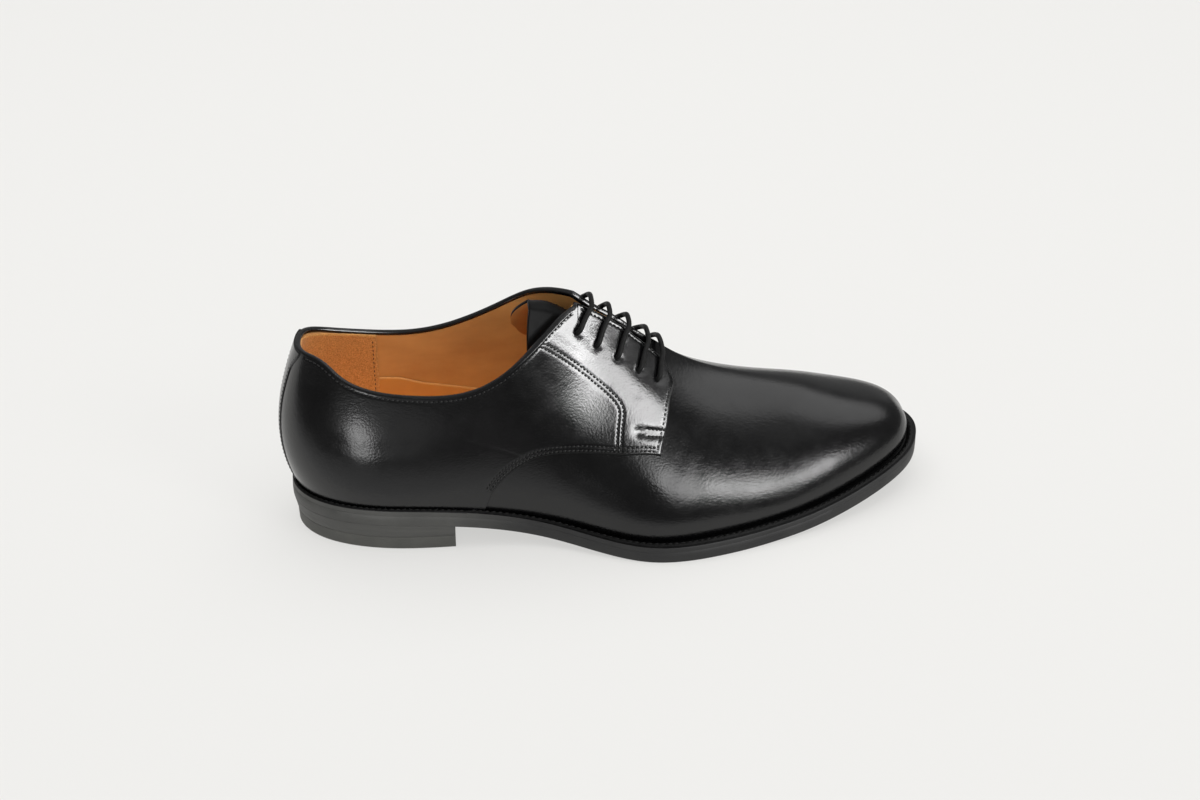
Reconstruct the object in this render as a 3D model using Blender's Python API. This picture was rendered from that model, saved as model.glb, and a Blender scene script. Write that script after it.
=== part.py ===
"""Plain derby shoe for the right foot: welted sole, stacked heel, hollow upper, tongue, insole and laces.

The last is a family of ribs. Each rib starts on the feather line, where upper and sole meet, rises with a
lean, and closes on the top line: the spine over the forefoot, the cone's rim round the ankle.
A rib is named by its way w, 0 at the heel back and 1 at the toe tip, and by its side.
A place on it is its height v, 0 on the feather line and 1 on the top line.

Frame: +X to the toe, -Y to the outer (lateral) side, +Z up, the floor at z = 0. Sizes are in millimetres.
"""
import math

import bmesh
import bpy
import numpy as np
from mathutils import Vector

MM = 0.001
LATERAL, MEDIAL = 1, -1

# Driving sizes of the last
LAST_LENGTH = 295.8
BALL_WIDTH = 98.6
INSTEP_HEIGHT = 103.8
HEEL_HEIGHT = 14.3
TOE_SPRING = 14.6

# Sections of the last, from the heel back to the toe tip.
# along, top_along: shares of LAST_LENGTH; lateral, medial, top_mid, top_half: shares of BALL_WIDTH
# top, wall, crown: shares of INSTEP_HEIGHT; lean and turn: degrees
LAST_COLUMNS = ("way", "along", "lateral", "medial", "top_along", "top_mid", "top_half", "top",
                "lean", "wall", "turn", "crown")
LAST_ROWS = (
    (0.00, 0.000, 0.000, 0.000, 0.033, 0.000, 0.000, 1.060, 22.5, 0.366, 76, 0.231),   # heel back
    (0.08, 0.031, -0.196, 0.203, 0.047, 0.000, 0.117, 1.069, 18.0, 0.347, 77, 0.231),  # heel corner
    (0.18, 0.129, -0.332, 0.304, 0.129, 0.000, 0.193, 1.089, 12.0, 0.318, 78, 0.231),  # heel side
    (0.30, 0.264, -0.360, 0.284, 0.254, 0.005, 0.198, 1.118, 9.0, 0.289, 74, 0.231),   # ankle
    (0.42, 0.400, -0.404, 0.264, 0.379, 0.012, 0.132, 1.140, 9.0, 0.270, 59, 0.231),   # waist
    (0.53, 0.525, -0.546, 0.353, 0.491, 0.019, 0.000, 1.000, 11.0, 0.241, 48, 0.226),  # instep
    (0.64, 0.637, -0.547, 0.426, 0.610, 0.034, 0.000, 0.716, 14.0, 0.202, 21, 0.250),  # throat
    (0.74, 0.745, -0.461, 0.453, 0.727, 0.061, 0.000, 0.573, 16.0, 0.154, 5, 0.205),   # ball
    (0.84, 0.850, -0.343, 0.389, 0.822, 0.081, 0.000, 0.505, 16.0, 0.166, 0, 0.192),   # vamp
    (0.93, 0.969, -0.122, 0.296, 0.916, 0.094, 0.000, 0.421, 14.5, 0.146, 0, 0.140),   # toe corner
    (0.97, 0.993, -0.010, 0.202, 0.973, 0.096, 0.000, 0.359, 15.0, 0.098, 0, 0.075),   # toe front
    (1.00, 1.000, 0.096, 0.096, 1.000, 0.096, 0.000, 0.216, 15.0, 0.000, 0, 0.000),    # toe tip
)
SPINE_FROM = 0.53       # ribs of both sides meet on the spine from this way on
INSTEP_RIBS_END = 0.55  # up to here ribs leave the top line square to the feather line
ACROSS_RIBS_FROM = 0.72  # from here they leave it straight across

# Sole profile: stretches along the foot, as shares of LAST_LENGTH
SEAT_END = 0.149
BALL_FROM = 0.569
SPRING_FROM = 0.678
SPRING_END = 1.016

# Sole layers
WELT_THICK = 3.0
OUTSOLE_THICK = 5.5
LAYER_GAP = 0.3
WELT_TUCK = 3.0         # how far the welt reaches in under the upper
WELT_END = 0.300        # way at which the welt stops, by the heel breast
RAND_INSET = 0.7        # the heel rand sits back from the outsole's edge
RAND_GAP_WAY = 0.002    # way left open between the rand's end and the welt's
# How far the sole stands out from the feather line: way, lateral, medial
EDGE_ROWS = (
    (0.00, 2.5, 2.5),
    (0.18, 2.5, 2.5),
    (0.35, 3.0, 2.0),
    (0.50, 4.5, 3.0),
    (0.64, 5.5, 4.5),
    (0.80, 5.5, 4.5),
    (1.00, 5.0, 5.0),
)

# Heel
BREAST_WAY = 0.281
BREAST_HOLLOW = 3.0
TOP_LIFT_THICK = 6.6
STACK_INSET = 0.3
LIFT_INSET = 1.6
LIFT_TAPER = 0.4
HOLLOW_POWER = 8        # how fast the breast's hollow fades towards the heel back

# Insole
INSOLE_INSET = 3.7
INSOLE_TOP = 2.2

# Upper: wall, overlays and openings
WALL = 2.0
QUARTER_FRONT_STEP = 1.2    # the quarter's raise over the vamp at its front edge
QUARTER_BACK_STEP = 0.6
BACK_STRIP_STEP = 0.5       # the back strip's raise over the quarter
WAIST_WAY = 0.334           # the quarter's lower edge runs down to the sole here
CORNER_WAY = 0.488          # top corner of the facing
FRONT_WAY = 0.600           # the facing's front edge, on average
STRIP_WAY = 0.030           # the back strip's edge, on average
# Collar height on its ribs: way, lateral, medial
COLLAR_ROWS = (
    (0.00, 0.800, 0.800),
    (0.08, 0.782, 0.748),
    (0.16, 0.652, 0.660),
    (0.24, 0.588, 0.616),
    (0.32, 0.594, 0.667),
    (0.38, 0.674, 0.740),
    (0.43, 0.780, 0.832),
    (0.50, 0.962, 0.968),
)
# Half gap between the facings: way, gap
THROAT_ROWS = ((0.48, 6.0), (0.50, 4.2), (0.53, 3.3), (0.56, 3.3), (0.58, 4.3), (0.60, 5.6), (0.62, 8.4))
# Lower edge of the quarter: way, height
QUARTER_ROWS = (
    (0.000, 0.250), (0.300, 0.130), (0.334, 0.106), (0.352, 0.195), (0.375, 0.262), (0.410, 0.322),
    (0.460, 0.359), (0.520, 0.390), (0.582, 0.434), (0.700, 0.440), (1.000, 0.440),
)
# Front edge of the facing: height, way
FRONT_ROWS = (
    (0.00, 0.570), (0.43, 0.582), (0.55, 0.597), (0.69, 0.612), (0.80, 0.626), (0.89, 0.617), (1.00, 0.610),
)
# Edge of the back strip: height, way
STRIP_ROWS = ((0.00, 0.020), (0.40, 0.018), (0.65, 0.026), (0.80, 0.055), (1.00, 0.060))
# Columns of the upper's net: from, to, cells
NET_STRETCHES = (
    (0.0, STRIP_WAY, 2),
    (STRIP_WAY, WAIST_WAY, 13),
    (WAIST_WAY, CORNER_WAY, 8),
    (CORNER_WAY, FRONT_WAY, 7),
    (FRONT_WAY, 1.0, 20),
)
CELLS_BELOW_EDGE = 4
CELLS_ABOVE_EDGE = 8
FACING_FOOT = 0.43          # height of the facing's lower front corner
FACING_HEAD = 0.90          # height of the facing's edge along the gap
COLLAR_ENDS = 0.45          # from this way on the facing's edge can cut the collar short
STEP_GROWS_FROM = 0.3       # shares of LAST_LENGTH over which the quarter's raise grows
STEP_GROWS_TO = 0.5

# Laces
LACE_RADIUS = 1.15
LACE_CLEAR = 0.45
LACE_HOLE_RADIUS = 2.0
HOLE_PIN_LENGTH = 12.0
LACE_STEP = 1.9
LACE_EDGE_LIFT = 0.7    # extra clearance where a bar leaves the facing's edge
# Eyelets: way, height, way gained by the bar up to the ridge, rise of the bar over the gap
EYELET_ROWS = (
    (0.489, 0.801, 0.020, 2.6),
    (0.517, 0.769, 0.020, 2.6),
    (0.545, 0.761, 0.019, 2.8),
    (0.573, 0.753, 0.018, 3.4),
    (0.598, 0.757, 0.012, 4.0),
)

# Tongue sections, front to top: way, depth under the last, lower edge's height,
# half width of the crest, rise of the crest, share by which the section is curled to the outer side
TONGUE_ROWS = (
    (0.672, 2.5, 0.80, 7.0, 0.8, 0.0),
    (0.648, 2.7, 0.77, 7.0, 0.9, 0.0),
    (0.615, 5.1, 0.71, 7.5, 1.2, 0.0),
    (0.580, 5.3, 0.67, 7.5, 1.4, 0.0),
    (0.540, 5.4, 0.65, 7.5, 1.6, 0.0),
    (0.500, 5.6, 0.64, 8.5, 1.6, 0.15),
    (0.465, 6.2, 0.63, 11.0, 1.4, 0.65),
    (0.440, 6.8, 0.66, 14.0, 1.2, 0.95),
    (0.430, 7.0, 0.72, 15.0, 1.2, 1.0),
)
TONGUE_CURL_HALF = 4.5  # half width of the crest where the top end is curled
TONGUE_LEAN = 0.012     # way by which the curled end's outer edge lies further back
TONGUE_THICK = 1.8
TONGUE_CELLS = 5        # cells on each side of the crest

SHARP_ANGLE = 40        # degrees from which an edge is shaded sharp

# Colours: red, green, blue, roughness
BLACK_LEATHER = (0.012, 0.012, 0.013, 0.22)
BLACK_TONGUE = (0.014, 0.014, 0.015, 0.40)
SOLE_EDGE = (0.045, 0.045, 0.048, 0.55)
WELT_BLACK = (0.020, 0.020, 0.021, 0.45)
HEEL_BLACK = (0.030, 0.030, 0.032, 0.50)
RUBBER = (0.018, 0.018, 0.018, 0.70)
TAN_LEATHER = (0.450, 0.210, 0.080, 0.60)
WAXED_CORD = (0.016, 0.016, 0.016, 0.60)


def smooth_curve(knots, values, start="flat", end="flat", closed=False):
    """Cubic curve through a table's rows; an end is flat (no slope) or free (no bend)."""
    knots = np.asarray(knots, float)
    values = np.asarray(values, float)
    count = len(knots)
    step = np.diff(knots)
    slope = np.diff(values) / step
    matrix = np.zeros((count, count))
    right = np.zeros(count)
    for i in range(1, count - 1):
        matrix[i, i - 1:i + 2] = step[i - 1], 2 * (step[i - 1] + step[i]), step[i]
        right[i] = 6 * (slope[i] - slope[i - 1])
    if closed:
        matrix[0, [0, 1, -2]] = 2 * (step[0] + step[-1]), step[0], step[-1]
        right[0] = 6 * (slope[0] - slope[-1])
        matrix[-1, [0, -1]] = 1, -1
    else:
        matrix[0, 0] = 1
        matrix[-1, -1] = 1
        if start == "flat":
            matrix[0, :2] = 2 * step[0], step[0]
            right[0] = 6 * slope[0]
        if end == "flat":
            matrix[-1, -2:] = step[-1], 2 * step[-1]
            right[-1] = -6 * slope[-1]
    bend = np.linalg.solve(matrix, right)

    def curve(at):
        at = np.asarray(at, float)
        i = np.clip(np.searchsorted(knots, at, side="right") - 1, 0, count - 2)
        a = (knots[i + 1] - at) / step[i]
        b = 1 - a
        bow = ((a ** 3 - a) * bend[i] + (b ** 3 - b) * bend[i + 1]) * step[i] ** 2 / 6
        return a * values[i] + b * values[i + 1] + bow

    return curve


def column(rows, index):
    return np.array([row[index] for row in rows], float)


def make_last_curves():
    """Curves of every column of the last's table, in millimetres or degrees."""
    table = {name: column(LAST_ROWS, i) for i, name in enumerate(LAST_COLUMNS)}
    way = table["way"]
    loop = np.concatenate([-way[::-1], way[1:]])
    along = np.concatenate([table["along"][::-1], table["along"][1:]]) * LAST_LENGTH
    across = np.concatenate([table["medial"][::-1], table["lateral"][1:]]) * BALL_WIDTH
    curves = {
        "feather_x": smooth_curve(loop, along, closed=True),
        "feather_y": smooth_curve(loop, across, closed=True),
    }
    units = {"top_along": LAST_LENGTH, "top_mid": BALL_WIDTH, "top": INSTEP_HEIGHT, "lean": 1.0,
             "wall": INSTEP_HEIGHT, "turn": 1.0, "crown": INSTEP_HEIGHT}
    for name, unit in units.items():
        curves[name] = smooth_curve(way, table[name] * unit, end="free")
    split = way <= SPINE_FROM
    curves["top_half"] = smooth_curve(way[split], table["top_half"][split] * BALL_WIDTH, start="free")
    edge_way = column(EDGE_ROWS, 0)
    curves["edge_lateral"] = smooth_curve(edge_way, column(EDGE_ROWS, 1))
    curves["edge_medial"] = smooth_curve(edge_way, column(EDGE_ROWS, 2))
    return curves


CURVES = make_last_curves()
COLLAR = {
    LATERAL: smooth_curve(column(COLLAR_ROWS, 0), column(COLLAR_ROWS, 1), end="free"),
    MEDIAL: smooth_curve(column(COLLAR_ROWS, 0), column(COLLAR_ROWS, 2), end="free"),
}


def sole_top(x):
    """Height of the feather line: flat seat, waist, flat ball, toe spring."""
    share = np.asarray(x, float) / LAST_LENGTH
    waist = np.clip((share - SEAT_END) / (BALL_FROM - SEAT_END), 0, 1)
    spring = np.clip((share - SPRING_FROM) / (SPRING_END - SPRING_FROM), 0, None)
    heel = HEEL_HEIGHT * 0.5 * (1 + np.cos(math.pi * waist))
    return WELT_THICK + OUTSOLE_THICK + heel + TOE_SPRING * spring ** 2


def feather_plan(turn):
    return np.stack([CURVES["feather_x"](turn), CURVES["feather_y"](turn)], -1)


def outward(turn):
    """Unit vector square to the feather line in plan; turn runs from -1 to 1, lateral side above 0."""
    turn = np.asarray(turn, float)
    small = 1e-4
    after = (turn + small + 1) % 2 - 1
    before = (turn - small + 1) % 2 - 1
    tangent = feather_plan(after) - feather_plan(before)
    normal = np.stack([tangent[..., 1], -tangent[..., 0]], -1)
    return normal / np.linalg.norm(normal, axis=-1, keepdims=True)


def last_point(turn, v):
    """Points of the last at the given turns (side times way) and heights."""
    turn, v = np.broadcast_arrays(np.asarray(turn, float), np.asarray(v, float))
    way = np.abs(turn)
    up = np.array([0.0, 0.0, 1.0])
    plan = feather_plan(turn)
    foot = np.concatenate([plan, sole_top(plan[..., :1])], -1)
    out = np.concatenate([outward(turn), np.zeros(turn.shape + (1,))], -1)
    half = np.where(way < SPINE_FROM, CURVES["top_half"](np.minimum(way, SPINE_FROM)), 0.0)
    top_y = CURVES["top_mid"](way) - np.sign(turn) * half
    top = np.stack([CURVES["top_along"](way), top_y, CURVES["top"](way)], -1)
    lean = np.radians(CURVES["lean"](way))[..., None]
    crown_turn = np.radians(CURVES["turn"](way))[..., None]
    wall = foot + CURVES["wall"](way)[..., None] * (up * np.cos(lean) + out * np.sin(lean))
    # Over the forefoot the ribs leave the spine straight across the shoe
    across = np.stack([np.zeros_like(way), -np.sign(turn), np.zeros_like(way)], -1)
    share = np.clip((way - INSTEP_RIBS_END) / (ACROSS_RIBS_FROM - INSTEP_RIBS_END), 0, 1)[..., None]
    over = out * (1 - share) + across * share
    crown = top + CURVES["crown"](way)[..., None] * (over * np.cos(crown_turn) - up * np.sin(crown_turn))
    v = v[..., None]
    return (1 - v) ** 3 * foot + 3 * (1 - v) ** 2 * v * wall + 3 * (1 - v) * v ** 2 * crown + v ** 3 * top


def last_normal(turn, v):
    """Outward unit normals of the last."""
    small = 1e-3
    way_step = last_point(turn + small, v) - last_point(turn - small, v)
    rise = last_point(turn, v + small) - last_point(turn, v - small)
    normal = np.cross(way_step, rise)
    return normal / np.linalg.norm(normal, axis=-1, keepdims=True)


def sole_outline(turn, inset=0.0):
    """Sole edge in plan, drawn in by an inset."""
    turn = np.asarray(turn, float)
    way = np.abs(turn)
    reach = np.where(turn >= 0, CURVES["edge_lateral"](way), CURVES["edge_medial"](way))
    return feather_plan(turn) + outward(turn) * (reach - inset)[..., None]


def add_material(thing, name, colour):
    material = bpy.data.materials.new(name)
    material.use_nodes = True
    shader = material.node_tree.nodes["Principled BSDF"]
    shader.inputs["Base Color"].default_value = (*colour[:3], 1.0)
    shader.inputs["Roughness"].default_value = colour[3]
    shader.inputs["Metallic"].default_value = 0.0
    thing.data.materials.append(material)


def add_solid(name, vertices, faces, colour, parent):
    """Object from vertices in millimetres and faces by index, closed and turned outwards."""
    net = bmesh.new()
    corners = [net.verts.new([c * MM for c in vertex]) for vertex in vertices]
    for face in faces:
        net.faces.new([corners[i] for i in face])
    open_edges = [edge for edge in net.edges if edge.is_boundary]
    if open_edges:
        bmesh.ops.holes_fill(net, edges=open_edges, sides=4)
    bmesh.ops.recalc_face_normals(net, faces=net.faces)
    mesh = bpy.data.meshes.new(name)
    net.to_mesh(mesh)
    net.free()
    mesh.shade_smooth()
    mesh.set_sharp_from_angle(angle=math.radians(SHARP_ANGLE))
    solid = bpy.data.objects.new(name, mesh)
    bpy.context.scene.collection.objects.link(solid)
    solid.parent = parent
    add_material(solid, name, colour)
    return solid


def sweep(sections, closed):
    """Vertices and faces of a bar through equal sections, with end faces unless it is closed."""
    sections = np.asarray(sections)
    count, sides = sections.shape[:2]
    faces = []
    for i in range(count if closed else count - 1):
        after = (i + 1) % count
        for k in range(sides):
            right = (k + 1) % sides
            faces.append((i * sides + k, i * sides + right, after * sides + right, after * sides + k))
    if not closed:
        faces.append(tuple(range(sides)))
        faces.append(tuple(range((count - 1) * sides, count * sides)))
    return sections.reshape(-1, 3), faces


def plate(ways, outlines, heights, hollow=0.0):
    """Closed plate under the foot: rows from side to side at each way, with a point on the middle line.

    Outlines and heights are pairs of functions, for the upper and the lower face.
    The first way is the heel back, one point; the last is the toe tip, one point, or a breast with a hollow.
    """
    layers = []
    for outline, height in zip(outlines, heights):
        rows = []
        for way in ways:
            sides = [outline(np.array(side * way)) for side in (LATERAL, MEDIAL)]
            middle = (sides[0] + sides[1]) / 2
            middle[0] -= hollow * (way / ways[-1]) ** HOLLOW_POWER
            rows.append([np.append(p, height(p[0])) for p in (sides[0], middle, sides[1])])
        layers.append(np.array(rows))
    vertices = []
    index = {}
    for layer, rows in enumerate(layers):
        for i, row in enumerate(rows):
            single = ways[i] in (0.0, 1.0)
            for k, point in enumerate(row):
                if single and k > 0:
                    index[layer, i, k] = index[layer, i, 0]
                    continue
                index[layer, i, k] = len(vertices)
                vertices.append(point)
    faces = []

    def add(*keys):
        face = list(dict.fromkeys(index[key] for key in keys))
        if len(face) > 2:
            faces.append(face)

    last = len(ways) - 1
    for i in range(last):
        for k in (0, 1):
            for layer in (0, 1):
                add((layer, i, k), (layer, i, k + 1), (layer, i + 1, k + 1), (layer, i + 1, k))
        for k in (0, 2):
            add((0, i, k), (0, i + 1, k), (1, i + 1, k), (1, i, k))
    if ways[last] < 1.0:
        for k in (0, 1):
            add((0, last, k), (0, last, k + 1), (1, last, k + 1), (1, last, k))
    return vertices, faces


def inset_outline(inset):
    def outline(turn):
        return sole_outline(turn, inset)

    return outline


def under_foot(drop):
    """Height function at a drop under the feather line."""
    def height(x):
        return sole_top(x) - drop

    return height


def level(z):
    def height(_):
        return z

    return height


def closing_ways(round_cells, long_cells):
    """Ways from heel back to toe tip, closer together round both ends."""
    heel = np.linspace(0, 0.1, round_cells)
    toe = np.linspace(0.9, 1, round_cells + 1)
    return np.concatenate([heel, np.linspace(0.1, 0.9, long_cells + 1)[1:], toe[1:]])


def build_outsole(parent):
    outline = inset_outline(0.0)
    heights = (under_foot(WELT_THICK + LAYER_GAP), under_foot(WELT_THICK + OUTSOLE_THICK))
    vertices, faces = plate(closing_ways(9, 30), (outline, outline), heights)
    add_solid("outsole", vertices, faces, SOLE_EDGE, parent)


def build_edge_strip(name, turns, inset, colour, parent):
    """Welt or rand: a strip that lies on the outsole and reaches in under the upper."""
    sections = []
    for turn in turns:
        turn = np.array((turn + 1) % 2 - 1)
        outer = sole_outline(turn, inset)
        inner = feather_plan(turn) - outward(turn) * WELT_TUCK
        section = []
        for plan, drop in ((outer, LAYER_GAP), (outer, WELT_THICK), (inner, WELT_THICK), (inner, LAYER_GAP)):
            section.append([*plan, sole_top(plan[0]) - drop])
        sections.append(section)
    vertices, faces = sweep(sections, closed=False)
    add_solid(name, vertices, faces, colour, parent)


def build_heel(parent):
    """Stack under the heel seat, drawn in to the floor, and the top lift that it stands on."""
    ways = np.linspace(0, BREAST_WAY, 15)
    outlines = (inset_outline(STACK_INSET), inset_outline(LIFT_INSET))
    heights = (under_foot(WELT_THICK + OUTSOLE_THICK + LAYER_GAP), level(TOP_LIFT_THICK + LAYER_GAP))
    vertices, faces = plate(ways, outlines, heights, BREAST_HOLLOW)
    add_solid("heel_stack", vertices, faces, HEEL_BLACK, parent)
    outlines = (inset_outline(LIFT_INSET), inset_outline(LIFT_INSET + LIFT_TAPER))
    vertices, faces = plate(ways, outlines, (level(TOP_LIFT_THICK), level(0.0)), BREAST_HOLLOW)
    add_solid("heel_top_lift", vertices, faces, RUBBER, parent)


def build_insole(parent):
    def outline(turn):
        return feather_plan(turn) - outward(turn) * INSOLE_INSET

    heights = (under_foot(-INSOLE_TOP), under_foot(WELT_THICK))
    vertices, faces = plate(closing_ways(6, 24), (outline, outline), heights)
    add_solid("insole", vertices, faces, TAN_LEATHER, parent)


def height_off_middle(turn, gap):
    """Height on a rib at which it comes within a gap of the shoe's middle line."""
    heights = np.linspace(0.6, 1.0, 81)
    points = last_point(np.full(len(heights), turn), heights)
    off_middle = np.abs(points[:, 1] - CURVES["top_mid"](abs(turn)))
    return float(np.interp(-gap, -off_middle, heights))


def throat_height(turn):
    """Height on a rib at which it reaches the facing's edge."""
    return height_off_middle(turn, np.interp(abs(turn), column(THROAT_ROWS, 0), column(THROAT_ROWS, 1)))


def net_way(u, v):
    """Way of a net column at a height: columns follow the back strip's edge and the facing's front edge."""
    strip = np.interp(v, column(STRIP_ROWS, 0), column(STRIP_ROWS, 1))
    front = np.interp(v, column(FRONT_ROWS, 0), column(FRONT_ROWS, 1))
    even = (0, STRIP_WAY, WAIST_WAY, CORNER_WAY, FRONT_WAY, 1)
    drawn = (0, strip, WAIST_WAY, CORNER_WAY, front, 1)
    return float(np.interp(u, even, drawn))


def rim_height(side, u):
    """Top of the upper on a net column: collar, facing edge or spine."""
    if u > FRONT_WAY:
        return 1.0
    if u > CORNER_WAY:
        return throat_height(side * net_way(u, FACING_HEAD))
    return min(float(COLLAR[side](u)), throat_height(side * u) if u > COLLAR_ENDS else 1.0)


def upper_net():
    """Net of the upper: points by key, and cells of four keys with their overlay layer."""
    columns = [0.0]
    for start, end, cells in NET_STRETCHES:
        columns.extend(np.linspace(start, end, cells + 1)[1:])
    first = [NET_STRETCHES[0][2]]
    for stretch in NET_STRETCHES[1:]:
        first.append(first[-1] + stretch[2])
    strip_at, waist_at, _, front_at, toe_at = first
    rows = CELLS_BELOW_EDGE + CELLS_ABOVE_EDGE
    points = {}
    cells = []

    def key(side, i, j):
        if i == toe_at:
            return (0, i, 0)
        shared = i == 0 or (j == rows and i > front_at)
        return (0 if shared else side, i, j)

    for side in (LATERAL, MEDIAL):
        for i, u in enumerate(columns):
            rim = rim_height(side, u)
            edge_way = u if u < CORNER_WAY else net_way(u, FACING_FOOT)
            edge = float(np.interp(edge_way, column(QUARTER_ROWS, 0), column(QUARTER_ROWS, 1)))
            for j in range(rows + 1):
                if j <= CELLS_BELOW_EDGE:
                    v = edge * j / CELLS_BELOW_EDGE
                else:
                    v = edge + (rim - edge) * (j - CELLS_BELOW_EDGE) / CELLS_ABOVE_EDGE
                points[key(side, i, j)] = last_point(side * net_way(u, v), v)
        for i in range(toe_at):
            for j in range(rows):
                corners = [key(side, i, j), key(side, i + 1, j), key(side, i + 1, j + 1), key(side, i, j + 1)]
                if side == MEDIAL:
                    corners.reverse()
                layer = "vamp"
                if i < waist_at or (i < front_at and j >= CELLS_BELOW_EDGE):
                    layer = "quarter"
                if i < strip_at:
                    layer = "strip"
                cells.append((list(dict.fromkeys(corners)), layer))

    def raised(point_key, layer):
        """Raise of an overlay over the vamp's surface at a net point."""
        if layer == "vamp":
            return 0.0
        share = points[point_key][0] / LAST_LENGTH
        forward = np.clip((share - STEP_GROWS_FROM) / (STEP_GROWS_TO - STEP_GROWS_FROM), 0, 1)
        raise_here = QUARTER_BACK_STEP + (QUARTER_FRONT_STEP - QUARTER_BACK_STEP) * forward
        return raise_here + (BACK_STRIP_STEP if layer == "strip" else 0.0)

    return points, cells, raised


def build_upper(parent):
    """Shell with a real wall: outer faces by overlay layer, inner faces, steps between layers, and rims."""
    points, cells, raised = upper_net()
    normals = {key: np.zeros(3) for key in points}
    for corners, _ in cells:
        p = [points[key] for key in corners]
        cross = np.cross(p[2] - p[0], p[-1] - p[1])
        for key in corners:
            normals[key] += cross
    for key, normal in normals.items():
        if key[2] == 0:
            normal[2] = 0.0  # the lower rim stays level with the feather line
    vertices = []
    index = {}

    def corner(key, layer):
        """Vertex of a net point on an overlay layer, or on the inner face for layer None."""
        if (key, layer) not in index:
            normal = normals[key] / np.linalg.norm(normals[key])
            index[key, layer] = len(vertices)
            vertices.append(points[key] + normal * (-WALL if layer is None else raised(key, layer)))
        return index[key, layer]

    faces = []
    sides = {}
    for corners, layer in cells:
        faces.append([corner(key, layer) for key in corners])
        faces.append([corner(key, None) for key in reversed(corners)])
        for a, b in zip(corners, corners[1:] + corners[:1]):
            sides.setdefault(frozenset((a, b)), []).append((a, b, layer))
    for found in sides.values():
        a, b, layer = found[0]
        other = found[1][2] if len(found) > 1 else None
        if other != layer:
            faces.append([corner(a, layer), corner(b, layer), corner(b, other), corner(a, other)])
    upper = add_solid("upper", vertices, faces, BLACK_LEATHER, parent)

    cutter = add_hole_cutter(parent)
    cut = upper.modifiers.new("lace_holes", "BOOLEAN")
    cut.operation = "DIFFERENCE"
    cut.object = cutter
    return upper


def add_hole_cutter(parent):
    """Pins through both facings, one at each eyelet."""
    net = bmesh.new()
    for side in (LATERAL, MEDIAL):
        for way, height, _, _ in EYELET_ROWS:
            normal = Vector(last_normal(np.array(side * way), np.array(height)))
            turn = normal.to_track_quat("Z", "Y").to_matrix().to_4x4()
            turn.translation = Vector(last_point(side * way, height)) * MM
            bmesh.ops.create_cone(net, cap_ends=True, segments=10, depth=HOLE_PIN_LENGTH * MM, matrix=turn,
                                  radius1=LACE_HOLE_RADIUS * MM, radius2=LACE_HOLE_RADIUS * MM)
    mesh = bpy.data.meshes.new("lace_hole_cutter")
    net.to_mesh(mesh)
    net.free()
    cutter = bpy.data.objects.new("lace_hole_cutter", mesh)
    bpy.context.scene.collection.objects.link(cutter)
    cutter.parent = parent
    cutter.hide_render = True
    cutter.display_type = "WIRE"
    return cutter


def tongue_line(row, depth):
    """One section of the tongue at a depth under the last, from the lateral edge over the crest."""
    way, _, low, crest_gap, crest_rise, curl = row
    sides = {}
    for side in (LATERAL, MEDIAL):
        high = height_off_middle(side * way, crest_gap)
        heights = np.linspace(low, high, TONGUE_CELLS + 1)
        turns = side * (way - curl * TONGUE_LEAN * np.linspace(1, 0, TONGUE_CELLS + 1))
        sides[side] = last_point(turns, heights) - depth * last_normal(turns, heights)
    mirrored = sides[LATERAL] * np.array([1, -1, 1])
    mirrored[:, 1] += 2 * (sides[LATERAL][-1, 1] + TONGUE_CURL_HALF)
    sides[MEDIAL] = sides[MEDIAL] * (1 - curl) + mirrored * curl
    crest = (sides[LATERAL][-1] + sides[MEDIAL][-1]) / 2 + np.array([0, 0, crest_rise])
    return [*sides[LATERAL], crest, *sides[MEDIAL][::-1]]


def build_tongue(parent):
    """Tongue as a saddle under the facings, set deeper than the last; its top end curls to the outer side."""
    at = np.linspace(0, 1, len(TONGUE_ROWS))
    columns = range(len(TONGUE_ROWS[0]))
    curves = [smooth_curve(at, column(TONGUE_ROWS, i), start="free", end="free") for i in columns]
    sections = []
    for station in np.linspace(0, 1, 2 * len(TONGUE_ROWS) - 1):
        row = [float(curve(station)) for curve in curves]
        sections.append(tongue_line(row, row[1]) + tongue_line(row, row[1] + TONGUE_THICK)[::-1])
    vertices, faces = sweep(sections, closed=False)
    caps = faces[-2:]
    faces = faces[:-2]
    count = 2 * TONGUE_CELLS + 3
    for cap in caps:
        for k in range(count - 1):
            faces.append((cap[k], cap[k + 1], cap[2 * count - 2 - k], cap[2 * count - 1 - k]))
    add_solid("tongue", vertices, faces, BLACK_TONGUE, parent)


def rounded(points, passes):
    """Path with its corners cut, twice as many points each pass."""
    points = np.asarray(points, float)
    for _ in range(passes):
        cut = np.empty((2 * len(points) - 2, 3))
        cut[0::2] = 0.75 * points[:-1] + 0.25 * points[1:]
        cut[1::2] = 0.25 * points[:-1] + 0.75 * points[1:]
        points = np.concatenate([points[:1], cut, points[-1:]])
    return points


def even_steps(points, step):
    """Path read again at even steps."""
    length = np.concatenate([[0], np.cumsum(np.linalg.norm(np.diff(points, axis=0), axis=1))])
    at = np.linspace(0, length[-1], int(length[-1] / step) + 1)
    return np.stack([np.interp(at, length, points[:, k]) for k in range(3)], -1)


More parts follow.
